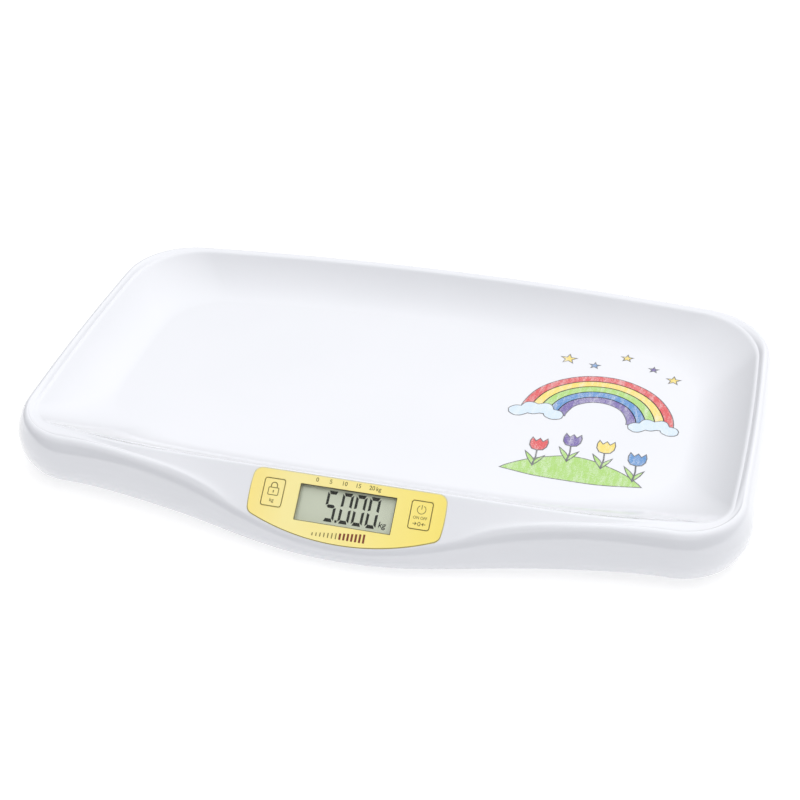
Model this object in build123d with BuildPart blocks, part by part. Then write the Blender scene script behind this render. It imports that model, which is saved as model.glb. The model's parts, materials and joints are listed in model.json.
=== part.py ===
from build123d import *

import os
from math import atan, cos, exp, pi, radians, sin, sqrt, tan

# Digital baby weighing scale, in millimetres.
# X runs along the tray, +Y to the rear, +Z up. The origin is on the table, under the middle of the scale.

os.makedirs("parts", exist_ok=True)

# ---------------------------------------------------------------------------
# Driving dimensions
# ---------------------------------------------------------------------------

# Plan of the tray at its widest level, the belly of the skirt
half_length = 280.0
half_depth = 175.0
rear_bow = 17.0  # how far the rear side bows out between its corners
end_bow = 4.0
rear_corner_radius = 63.0
front_corner_radius = 54.0

# Skirt, from the edge near the table up to the shoulder of the rim
skirt_bottom = 7.0
belly_height = 26.5
shoulder_height = 44.0
bottom_tuck = 5.0  # how far the bottom edge lies inside the belly
shoulder_tuck = 6.5
wall = 2.6
inner_skew = 0.6  # inner edge of the shoulder behind the outer one, as a share of the wall
seat_relief = 0.8

# Display nose: the skirt bulges forward in a bell curve, and a sloping facet cuts its top off
nose_reach = 40.0
nose_width = 128.0
nose_power = 2.13
nose_span = 160.0  # the bell curve is followed this far to each side
nose_belly_relief = 4.6
nose_bottom_relief = 1.0
facet_tilt = 37.9
ridge_softness = 2.0

# Rim and basin. The crest is the front part of the rim, where basin and facet meet
rim_height = 43.5
rim_width_end = 9.3
rim_width_rear = 7.5
rim_rear_radius = 46.0
rim_front_radius = 25.0
crest_setback = 5.7  # crest behind the straight front of the skirt's belly
crest_height = 50.7
crest_flat = 76.0  # half-length of the straight middle of the crest
crest_bow = 22.0
basin_floor = 23.5
basin_blend = 40.0  # run of the basin's wall, from the rim to the flat floor
basin_power = 2.6
floor_corner_radius = 50.0

# Rounding of the tray's edges, in three short bands each
shoulder_round = 1.3
crest_round = 0.8
edge_round = 0.3  # how far a rounding cuts off the sharp edge, as a share of its length

# Bands that make up the curved walls
skirt_bands = 3  # below the belly, and again above it
basin_bands = 7
basin_band_growth = 1.25

# Facia sheet, window and keys, placed on the facet by their distance from the crest
overlay_thickness = 0.8
overlay_half_length = 70.0
overlay_side_bow = 1.2
overlay_top = 1.5
overlay_side_bottom = 34.6
overlay_middle_bottom = 48.7
overlay_corner_radius = 6.5
seat_gap = 0.15  # clearance round a piece that is set in a recess
window_length = 70.6
window_height = 26.8
window_drop = 22.1
window_radius = 0.6
lens_border = 2.1
lens_thickness = 1.2
key_length = 15.2
key_height = 20.3
key_offset = 53.8
key_drop = 18.4
key_radius = 1.8
key_gap = 0.3
key_travel = 0.5
key_top = 1.4
key_wall = 1.2
key_flange = 1.0

# Display and circuit board, stacked behind the facet
glass_length = 75.0
glass_height = 30.0
glass_thickness = 2.6
glass_gap = 0.2
frame_depth = 3.0
frame_wall = 1.6
frame_lip = 0.6
frame_border = 0.8
strip_width = 2.0
strip_length = 66.0
board_depth = 8.8
board_thickness = 1.6
board_half_length = 69.5
board_height = 34.2
board_corner_radius = 2.0
board_boss_x = 66.3
board_boss_top = 8.7
board_boss_bottom = 34.5
board_boss_radius = 2.6
board_screw_radius = 0.95
board_screw_head_radius = 2.0
board_screw_head = 1.4
board_screw_length = 5.5
cross_width = 0.6
switch_size = 6.0
switch_height = 3.5
plunger_radius = 1.7
plunger_proud = 0.7
plunger_clearance = 0.05
chip_radius = 8.0
chip_height = 1.6
chip_drop = 24.0
header_length = 9.0
header_width = 4.0
header_height = 3.2
header_offset = 34.0
header_drop = 14.0

# Base cover
base_recess = 1.0  # underside of the base, above the edge of the skirt
base_thickness = 2.5
base_gap = 0.4
pad_radius = 6.0
pad_height = 1.5
screw_middle_x = 90.0
screw_rear_inset = 80.0  # from the belly of the skirt at the rear
screw_front_inset = 69.6  # from the straight front of the belly
screw_side_inset = 65.0
screw_side_y = 15.0
screw_radius = 1.45
screw_clearance = 0.25
screw_head_radius = 3.0
screw_head = 2.0
screw_length = 9.5
boss_radius = 4.0
pilot_clearance = 0.05

# Ribs under the tray floor
rib_thickness = 1.6
rib_height = 5.5
rib_xs = [-120.0, -60.0, 0.0, 60.0, 120.0]
rib_ys = [-40.0, 20.0, 80.0]
rib_overhang = 12.0

# Feet and load cells
foot_side_inset = 75.0  # from the belly of the skirt to the middle of a foot
foot_rear_inset = 67.0
foot_front_inset = 61.6
pad_disc_radius = 18.0
pad_disc_height = 3.2
pad_disc_chamfer = 0.8
cup_radius = 21.0
cup_height = 4.0
cup_lip = 1.0
neck_size = 22.0
neck_height = 4.6
neck_corner_radius = 3.0
neck_gap = 0.5
stud_radius = 4.0
pin_radius = 1.5
pin_length = 2.8
pin_gap = 0.1
cell_size = 34.0
cell_thickness = 2.0
cell_radius = 4.0
cell_slot = 2.0
tongue_width = 14.0
tongue_length = 20.0
cell_ledge_height = 2.5
cell_ledge_width = 3.0
cell_gap = 0.3
cell_wall = 1.6
tongue_shift = -1.0
retainer_thickness = 1.5
retainer_bar = 4.0
retainer_ear = 6.0
pocket_rise = 1.3  # pocket walls above the retainers
gauge_start = 7.0
gauge_length = 5.5
gauge_width = 9.0
gauge_height = 2.0
notch_gap = 0.3

# Battery box, door and contacts
aaa_radius = 5.25
aaa_length = 44.5
nub_radius = 1.9
nub_length = 0.8
cell_chamfer = 0.3
row_gap = 0.4
box_setback = 28.2  # front of the box, behind the front of the nose
box_wall = 1.4
box_front_gap = 0.35
box_rear_gap = 1.45
box_lift = 0.3
box_headroom = 0.4
spring_length = 4.5
spring_width = 5.0
contact_thickness = 0.4
contact_size = 9.0
dimple_length = 1.7
dimple_radius = 2.2
tail_width = 3.0
tail_rise = 3.0  # height of the solder tails above the box
tail_gap = 0.3
door_thickness = 1.6
door_gap = 0.3
door_ledge = 1.2
hook_x = 30.0
hook_width = 8.0
hook_thickness = 0.9
hook_reach = 1.5
hook_neck = 1.2
hook_height = 1.2  # height of the hooks' necks, and of the latch's nib
hook_lift = 0.3
hook_gap = 0.4
latch_width = 10.0
latch_length = 8.0
latch_slit = 0.8
latch_nib = 1.2
latch_nib_setback = 0.2
grip_depth = 0.4
grip_width = 1.0
thumb_radius = 8.0
thumb_depth = 1.2

# Leads. The routes are corners on the base cover, as shares of the way from a foot to its header
lead_diameter = 1.6
lead_floor_gap = 0.2
lead_share = 0.45  # share of the shorter run that a bend may use
lead_exit = 14.5
lead_spread = 2.0  # from the middle of a header to each of its two leads
lead_approach = 8.0
lead_rise_gap = 2.8
lead_lean = 3.0
rear_route = [
    (0.225, 0.036),
    (0.243, 0.161),
    (0.387, 0.332),
    (0.457, 0.538),
    (0.607, 0.682),
    (0.827, 0.798),
    (0.896, 0.906),
]
front_route = [(0.231, 0.108), (0.385, 0.324), (0.645, 0.405), (0.858, 0.676)]
battery_lead_x = 59.0

# ---------------------------------------------------------------------------
# Values that follow from the sizes above
# ---------------------------------------------------------------------------

nose_belly_reach = nose_reach - nose_belly_relief
nose_bottom_reach = nose_reach - nose_bottom_relief
front_reach = half_depth - nose_belly_reach
crest_reach = front_reach - crest_setback
facet_slope = tan(radians(facet_tilt))
rim_half_length = half_length - shoulder_tuck - rim_width_end
rim_rear = half_depth - shoulder_tuck - rim_width_rear
crest_side = crest_reach - crest_bow
foot_x = half_length - foot_side_inset
foot_rear = half_depth - foot_rear_inset
foot_front = foot_front_inset - front_reach
screw_side_x = half_length - screw_side_inset
screw_rear_y = half_depth - screw_rear_inset
screw_front_y = screw_front_inset - front_reach

facet = Plane(
    origin=(0, -crest_reach, crest_height),
    x_dir=(1, 0, 0),
    z_dir=(0, -sin(radians(facet_tilt)), cos(radians(facet_tilt))),
)
base_bottom = skirt_bottom + base_recess
base_top = base_bottom + base_thickness
floor_underside = basin_floor - wall
boss_bottom = base_top + pad_height
screw_positions = []
for side in (-1, 1):
    screw_positions.append((side * screw_middle_x, screw_rear_y))
    screw_positions.append((side * screw_middle_x, screw_front_y))
    screw_positions.append((side * screw_side_x, screw_side_y))
foot_positions = {
    "rear_left": (-foot_x, foot_rear),
    "rear_right": (foot_x, foot_rear),
    "front_left": (-foot_x, foot_front),
    "front_right": (foot_x, foot_front),
}


def behind(depth):
    """The plane parallel to the facet, a given depth inside the scale."""
    return facet.offset(-depth)


def on_facet(x, drop, depth):
    """The point below the crest by drop along the facet, and inside it by depth."""
    return facet.from_local_coords(Vector(x, -drop, -depth))


# ---------------------------------------------------------------------------
# Rings: closed outlines with four bowed sides and round corners. The front
# side may be replaced by a curve in space, for the nose and for the crest.
# ---------------------------------------------------------------------------


def ring(half, rear, front, rear_radius, corner_radius, height, front_bow=0.0, front_points=()):
    side = half - end_bow
    shoulder = rear - rear_bow
    middle = (shoulder + front) / 2
    with BuildSketch(Plane.XY.offset(height)) as outline:
        with BuildLine():
            ThreePointArc((-side, shoulder), (0, rear), (side, shoulder))
            ThreePointArc((side, shoulder), (half, middle), (side, front))
            if front_bow:
                ThreePointArc((side, front), (0, front - front_bow), (-side, front))
            else:
                Line((side, front), (-side, front))
            ThreePointArc((-side, front), (-half, middle), (-side, shoulder))
        make_face()
        corners = outline.vertices().sort_by(Axis.Y)
        fillet(corners[-2:], rear_radius)
        corners = outline.vertices().sort_by(Axis.Y)
        fillet(corners[:2], corner_radius)
    edges = outline.sketch.edges().sort_by(Axis.Y)
    if not front_points:
        return Wire(edges)
    straight = edges[0]
    ends = (straight @ 0, straight @ 1)
    backwards = ends[0].X > ends[1].X
    points = sorted(front_points, key=lambda point: point[0], reverse=backwards)
    curve = Edge.make_spline([ends[0], *points, ends[1]], tangents=[straight % 0, straight % 1])
    return Wire([*edges[1:], curve])


def bell(x):
    """Share of the nose's reach at a distance x from the middle."""
    return exp(-(abs(x / nose_width) ** nose_power))


def facet_height(y):
    return crest_height + (y + crest_reach) * facet_slope


def lower_of(first, second):
    """The lower of two heights, with a soft change from one to the other."""
    return (first + second - sqrt((first - second) ** 2 + ridge_softness**2)) / 2


def skirt_ring(tuck, reach, side_height, nose_height):
    """A ring of the skirt, tucked inside the belly, with the nose bulging forward."""
    front = tuck - front_reach
    stations = [nose_span * step / 4 for step in range(-4, 5)]
    points = []
    for x in stations:
        y = front - reach * bell(x)
        points.append((x, y, nose_height(x, y)))
    return ring(
        half_length - tuck,
        half_depth - tuck,
        front,
        rear_corner_radius - tuck,
        front_corner_radius - tuck,
        side_height,
        front_points=points,
    )


def crest_top(x):
    """Height of the rim along its front: it rises from the corners to the crest."""
    start = crest_flat / 2
    end = rim_half_length - rim_front_radius
    share = min(max((abs(x) - start) / (end - start), 0), 1)
    return rim_height + (crest_height - rim_height) * cos(pi / 2 * share)


def basin_ring(run, offset=0.0, sink=0.0, crest_sink=0.0):
    """A ring of the basin's wall, a given run inside the rim.

    The underside of the wall uses the same rings, pushed outwards by offset and down by sink.
    """
    share = run / basin_blend
    left = (1 - share) ** basin_power
    half = rim_half_length - run + offset
    rear = rim_rear - run + offset
    front = run - crest_side - offset
    rear_radius = rim_rear_radius + (floor_corner_radius - rim_rear_radius) * share + offset
    corner_radius = rim_front_radius + (floor_corner_radius - rim_front_radius) * share + offset
    points = []
    for fraction in (-0.72, -0.5, -0.28, 0, 0.28, 0.5, 0.72):
        x = fraction * half
        recede = crest_bow * (max(abs(x) - crest_flat, 0) / (half - crest_flat)) ** 2
        rise = (crest_top(x) - rim_height) / (crest_height - rim_height)
        height = basin_floor + (crest_top(x) - basin_floor) * left - sink - crest_sink * rise
        points.append((x, front - crest_bow + recede, height))
    side_height = basin_floor + (rim_height - basin_floor) * left - sink
    return ring(half, rear, front, rear_radius, corner_radius, side_height, crest_bow, points)


def basin_slope(run):
    """Angle of the basin's wall to the level, in radians."""
    steepest = (rim_height - basin_floor) * basin_power / basin_blend
    return atan(steepest * (1 - run / basin_blend) ** (basin_power - 1))


def closed_form(rings):
    """The solid whose wall runs through the rings, with flat faces on the first and the last."""
    wall_faces = Shell.make_loft(rings, ruled=True).faces()
    return Solid(Shell([*wall_faces, Face(rings[0]), Face(rings[-1])]))


def bowed(share, first, middle, last):
    """Value at a share of the skirt's height, on a curve through its bottom, belly and shoulder."""
    even = first + (last - first) * belly_share
    bend = (middle - even) / (belly_share * (1 - belly_share))
    return first + (last - first) * share + bend * share * (1 - share)


def shoulder_line(x, y):
    return lower_of(shoulder_height, facet_height(y))


def inner_shoulder_line(x, y):
    return lower_of(shoulder_height - wall, facet_height(y) - facet_wall)


def outer_ring(share):
    """A ring of the outer skirt. On the nose its height follows the ridge above it."""
    def height(x, y):
        ridge = shoulder_line(x, shoulder_tuck - front_reach - nose_reach * bell(x))
        return skirt_bottom + share * (ridge - skirt_bottom)

    tuck = bowed(share, bottom_tuck, 0, shoulder_tuck)
    reach = bowed(share, nose_bottom_reach, nose_belly_reach, nose_reach)
    return skirt_ring(tuck, reach, skirt_bottom + share * (shoulder_height - skirt_bottom), height)


def inner_ring(share):
    """A ring of the inner skirt, one wall inside the outer one."""
    def height(x, y):
        ridge = inner_shoulder_line(x, inner_tuck - front_reach - inner_reach * bell(x))
        return cavity_bottom + share * (ridge - cavity_bottom)

    tuck = bowed(share, bottom_tuck + wall, wall, inner_tuck)
    reach = bowed(share, nose_bottom_reach, nose_belly_reach, inner_reach)
    return skirt_ring(tuck, reach, cavity_bottom + share * (shoulder_height - wall - cavity_bottom), height)


# Outer surface of the tray, from the edge of the skirt over the rim to the flat floor
belly_share = (belly_height - skirt_bottom) / (shoulder_height - skirt_bottom)
shares = [belly_share * step / skirt_bands for step in range(skirt_bands)]
shares += [belly_share + (1 - belly_share) * step / skirt_bands for step in range(skirt_bands)]
shares.append(1 - shoulder_round / (shoulder_height - skirt_bottom))
skirt_rings = [outer_ring(share) for share in shares]

shoulder_cut = shoulder_round * edge_round
shoulder_rings = [
    skirt_ring(
        shoulder_tuck + shoulder_cut,
        nose_reach,
        shoulder_height - shoulder_cut,
        lambda x, y: shoulder_line(x, y) - shoulder_cut,
    ),
    skirt_ring(shoulder_tuck + shoulder_round, nose_reach, shoulder_height, shoulder_line),
]

crest_cut = crest_round * edge_round
crest_rings = [
    basin_ring(0, crest_round, 0, crest_round * facet_slope),
    basin_ring(0, 0, crest_cut, crest_cut),
]
basin_runs = [basin_blend * (step / basin_bands) ** basin_band_growth for step in range(basin_bands + 1)]
basin_rings = [basin_ring(crest_round)] + [basin_ring(run) for run in basin_runs[1:]]
outer_form = closed_form([*skirt_rings, *shoulder_rings, *crest_rings, *basin_rings])

# Inner surface of the tray, one wall inside the outer one, in wider bands
facet_wall = wall / cos(radians(facet_tilt))
rim_offset = wall * tan(basin_slope(0) / 2)
cavity_bottom = skirt_bottom - wall / 2
inner_tuck = shoulder_tuck + inner_skew * wall
inner_reach = nose_reach + inner_skew * wall - wall
inner_rings = [inner_ring(step / skirt_bands) for step in range(skirt_bands + 1)]
inner_rings.append(basin_ring(0, rim_offset, wall, facet_wall - wall + rim_offset * facet_slope))
for run in basin_runs[1::2]:
    slope = basin_slope(run)
    inner_rings.append(basin_ring(run, wall * sin(slope), wall * cos(slope)))
inner_form = closed_form(inner_rings)

# ---------------------------------------------------------------------------
# Tray shell
# ---------------------------------------------------------------------------

window_center = (0, -window_drop)
key_centers = [(-key_offset, -key_drop), (key_offset, -key_drop)]
lens_length = window_length + 2 * lens_border
lens_height = window_height + 2 * lens_border
board_boss_centers = [
    (side * board_boss_x, -drop) for side in (-1, 1) for drop in (board_boss_top, board_boss_bottom)
]


def overlay_outline(gap):
    """Outline of the facia sheet, straight along the crest, with bowed sides and a curved bottom."""
    half = overlay_half_length + gap
    bulge = half + overlay_side_bow
    top = gap - overlay_top
    bottom = -overlay_side_bottom - gap
    middle = (top + bottom) / 2
    with BuildSketch() as outline:
        with BuildLine():
            Line((-half, top), (half, top))
            ThreePointArc((half, top), (bulge, middle), (half, bottom))
            ThreePointArc((half, bottom), (0, -overlay_middle_bottom - gap), (-half, bottom))
            ThreePointArc((-half, bottom), (-bulge, middle), (-half, top))
        make_face()
        fillet(outline.vertices(), overlay_corner_radius + gap)
    return outline.sketch


with BuildPart() as tray_shell:
    add(outer_form)
    add(inner_form, mode=Mode.SUBTRACT)

    # Flat seat behind the facet, so that frame and keys have even room
    with BuildSketch(behind(wall + seat_relief)):
        with Locations(window_center):
            Rectangle(2 * board_half_length, board_height)
    extrude(amount=seat_relief, mode=Mode.SUBTRACT)

    # Bosses for the base screws, and ribs, under the flat floor
    with BuildSketch(Plane.XY.offset(boss_bottom)):
        with Locations(*screw_positions):
            Circle(boss_radius)
    extrude(amount=basin_floor - wall / 2 - boss_bottom)
    rib_bottom = floor_underside - rib_height
    with BuildSketch(Plane.XY.offset(rib_bottom)):
        rib_length = rib_xs[-1] - rib_xs[0] + 2 * rib_overhang
        rib_run = rib_ys[-1] - rib_ys[0] + 2 * rib_overhang
        with Locations(*[(0, y) for y in rib_ys]):
            Rectangle(rib_length, rib_thickness)
        with Locations(*[(x, (rib_ys[0] + rib_ys[-1]) / 2) for x in rib_xs]):
            Rectangle(rib_thickness, rib_run)
    extrude(amount=basin_floor - wall / 2 - rib_bottom)
    with BuildSketch(Plane.XY.offset(boss_bottom)):
        with Locations(*screw_positions):
            Circle(screw_radius + pilot_clearance)
    extrude(amount=screw_length - base_recess, mode=Mode.SUBTRACT)

    # Bosses for the circuit board, behind the facet
    with BuildSketch(behind(board_depth)):
        with Locations(*board_boss_centers):
            Circle(board_boss_radius)
    extrude(amount=board_depth - wall / 2)
    with BuildSketch(behind(board_depth)):
        with Locations(*board_boss_centers):
            Circle(board_screw_radius + pilot_clearance)
    extrude(amount=board_depth - wall, mode=Mode.SUBTRACT)

    # Recess for the facia, and the openings for window and keys
    with BuildSketch(behind(overlay_thickness)):
        add(overlay_outline(seat_gap))
    extrude(amount=wall, mode=Mode.SUBTRACT)
    with BuildSketch(behind(overlay_thickness + lens_thickness)):
        with Locations(window_center):
            RectangleRounded(lens_length + 2 * seat_gap, lens_height + 2 * seat_gap, window_radius)
    extrude(amount=wall, mode=Mode.SUBTRACT)
    with BuildSketch(behind(2 * wall)):
        with Locations(window_center):
            RectangleRounded(window_length + lens_border, window_height + lens_border, window_radius)
        with Locations(*key_centers):
            RectangleRounded(key_length + 2 * key_gap, key_height + 2 * key_gap, key_radius + key_gap)
    extrude(amount=2 * wall, mode=Mode.SUBTRACT)
tray_shell.part.label = "tray_shell"
export_step(tray_shell.part, "parts/tray_shell.step")

# ---------------------------------------------------------------------------
# Facia sheet, window and keys
# ---------------------------------------------------------------------------

with BuildPart() as panel_overlay:
    with BuildSketch(behind(overlay_thickness)):
        add(overlay_outline(0))
        with Locations(window_center):
            RectangleRounded(window_length, window_height, window_radius, mode=Mode.SUBTRACT)
        with Locations(*key_centers):
            RectangleRounded(
                key_length + 2 * key_gap,
                key_height + 2 * key_gap,
                key_radius + key_gap,
                mode=Mode.SUBTRACT,
            )
    extrude(amount=overlay_thickness)
panel_overlay.part.label = "panel_overlay"
export_step(panel_overlay.part, "parts/panel_overlay.step")

with BuildPart() as lcd_window:
    with BuildSketch(behind(overlay_thickness + lens_thickness)):
        with Locations(window_center):
            RectangleRounded(lens_length, lens_height, window_radius)
    extrude(amount=lens_thickness)
lcd_window.part.label = "lcd_window"
export_step(lcd_window.part, "parts/lcd_window.step")

# Each key is a hollow cap with a flange behind the tray wall and a post over its switch
switch_depth = board_depth - switch_height
plunger_depth = switch_depth - plunger_proud
flange_depth = wall + key_gap
key_depth = flange_depth + key_flange
post_radius = plunger_radius + key_gap
for name, center in zip(("hold", "power"), key_centers):
    with BuildPart() as key:
        with BuildSketch(behind(key_depth)):
            with Locations(center):
                RectangleRounded(key_length, key_height, key_radius)
        extrude(amount=key_depth)
        with BuildSketch(behind(key_depth)):
            with Locations(center):
                RectangleRounded(key_length, key_height, key_radius)
            offset(amount=key_flange)
        extrude(amount=key_flange)
        with BuildSketch(behind(key_depth)):
            with Locations(center):
                Rectangle(key_length - 2 * key_wall, key_height - 2 * key_wall)
        extrude(amount=key_depth - key_top, mode=Mode.SUBTRACT)
        with BuildSketch(behind(plunger_depth - plunger_clearance)):
            with Locations(center):
                Circle(post_radius)
        extrude(amount=plunger_depth - plunger_clearance - key_top)
    key.part.label = name + "_key"
    export_step(key.part, "parts/" + name + "_key.step")

    # Tact switch body with a bore, and the plunger that slides in it
    with BuildPart() as switch:
        with BuildSketch(behind(board_depth)):
            with Locations(center):
                Rectangle(switch_size, switch_size)
        extrude(amount=switch_height)
        with BuildSketch(behind(switch_depth)):
            with Locations(center):
                Circle(plunger_radius + plunger_clearance)
        extrude(amount=-(switch_height - plunger_proud), mode=Mode.SUBTRACT)
    switch.part.label = name + "_switch"
    export_step(switch.part, "parts/" + name + "_switch.step")

    with BuildPart() as plunger:
        with BuildSketch(behind(plunger_depth)):
            with Locations(center):
                Circle(plunger_radius)
        extrude(amount=-(switch_height - key_travel - plunger_clearance))
    plunger.part.label = name + "_plunger"
    export_step(plunger.part, "parts/" + name + "_plunger.step")

# ---------------------------------------------------------------------------
# Display and circuit board
# ---------------------------------------------------------------------------

glass_depth = frame_depth + frame_lip + glass_gap / 4
glass_back = glass_depth + glass_thickness
frame_length = glass_length + 2 * (glass_gap + frame_wall)
frame_height = glass_height + 2 * (glass_gap + frame_wall)

with BuildPart() as lcd_glass:
    with BuildSketch(behind(glass_back)):
        with Locations(window_center):
            Rectangle(glass_length, glass_height)
    extrude(amount=glass_thickness)
lcd_glass.part.label = "lcd_glass"
export_step(lcd_glass.part, "parts/lcd_glass.step")

with BuildPart() as lcd_frame:
    with BuildSketch(behind(board_depth)):
        with Locations(window_center):
            Rectangle(frame_length, frame_height)
    extrude(amount=board_depth - frame_depth)
    with BuildSketch(behind(board_depth)):
        with Locations(window_center):
            Rectangle(glass_length + 2 * glass_gap, glass_height + 2 * glass_gap)
    extrude(amount=board_depth - frame_depth - frame_lip, mode=Mode.SUBTRACT)
    with BuildSketch(behind(frame_depth + frame_lip)):
        with Locations(window_center):
            Rectangle(window_length + frame_border, window_height + frame_border)
    extrude(amount=frame_lip, mode=Mode.SUBTRACT)
lcd_frame.part.label = "lcd_frame"
export_step(lcd_frame.part, "parts/lcd_frame.step")

strip_shift = glass_height / 2 - strip_width
for name, side in (("upper", 1), ("lower", -1)):
    with BuildPart() as strip:
        with BuildSketch(behind(board_depth)):
            with Locations((0, side * strip_shift - window_drop)):
                Rectangle(strip_length, strip_width)
        extrude(amount=board_depth - glass_back)
    strip.part.label = name + "_connector_strip"
    export_step(strip.part, "parts/" + name + "_connector_strip.step")

board_back = board_depth + board_thickness
with BuildPart() as main_board:
    with BuildSketch(behind(board_back)):
        with Locations(window_center):
            RectangleRounded(2 * board_half_length, board_height, board_corner_radius)
        with Locations(*board_boss_centers):
            Circle(board_screw_radius + seat_gap, mode=Mode.SUBTRACT)
    extrude(amount=board_thickness)
main_board.part.label = "main_board"
export_step(main_board.part, "parts/main_board.step")

with BuildPart() as board_screws:
    with BuildSketch(behind(board_back + board_screw_head)):
        with Locations(*board_boss_centers):
            Circle(board_screw_head_radius)
    extrude(amount=board_screw_head)
    with BuildSketch(behind(board_back)):
        with Locations(*board_boss_centers):
            Circle(board_screw_radius)
    extrude(amount=board_screw_length)
    with BuildSketch(behind(board_back + board_screw_head)):
        with Locations(*board_boss_centers):
            Rectangle(board_screw_head_radius, cross_width)
            Rectangle(cross_width, board_screw_head_radius)
    extrude(amount=board_screw_head / 2, mode=Mode.SUBTRACT)
board_screws.part.label = "board_screws"
export_step(board_screws.part, "parts/board_screws.step")

with BuildPart() as controller_chip:
    with BuildSketch(behind(board_back)):
        with Locations((0, -chip_drop)):
            Circle(chip_radius)
    extrude(amount=-chip_height)
    chip_rim = controller_chip.edges().group_by(Axis((0, 0, 0), facet.z_dir))[0]
    chamfer(chip_rim, chip_height / 2)
controller_chip.part.label = "controller_chip"
export_step(controller_chip.part, "parts/controller_chip.step")

for name, side in (("left", -1), ("right", 1)):
    with BuildPart() as header:
        with BuildSketch(behind(board_back)):
            with Locations((side * header_offset, -header_drop)):
                Rectangle(header_length, header_width)
        extrude(amount=-header_height)
    header.part.label = name + "_cell_header"
    export_step(header.part, "parts/" + name + "_cell_header.step")

# ---------------------------------------------------------------------------
# Base cover, with the battery box, the pockets of the load cells and the screw pads
# ---------------------------------------------------------------------------

door_top = base_bottom + door_thickness
box_front = box_setback - half_depth
opening_front = box_front + box_wall
row_front = opening_front + box_front_gap + aaa_radius
row_rear = row_front + 2 * aaa_radius + row_gap
opening_rear = row_rear + aaa_radius + box_rear_gap
opening_middle = (opening_front + opening_rear) / 2
opening_run = opening_rear - opening_front
cell_axis = door_top + box_lift + aaa_radius
box_roof = cell_axis + aaa_radius + box_headroom
box_top = box_roof + box_wall
box_half = aaa_length + contact_thickness + (spring_length + dimple_length) / 2
screw_seat = base_bottom + screw_head + base_gap
ledge_top = base_top + cell_ledge_height
retainer_bottom = ledge_top + cell_thickness
pocket_size = cell_size + 2 * cell_gap
pocket_top = retainer_bottom + retainer_thickness + pocket_rise
lead_height = retainer_bottom + gauge_height / 2
hook_bottom = door_top + hook_height
hook_tip = opening_rear + hook_reach
cover_tuck = bottom_tuck + wall + base_gap
foot_centers = list(foot_positions.values())


def inwards(x):
    """Sign of the direction from x to the middle of the scale."""
    return -1 if x > 0 else 1


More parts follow.
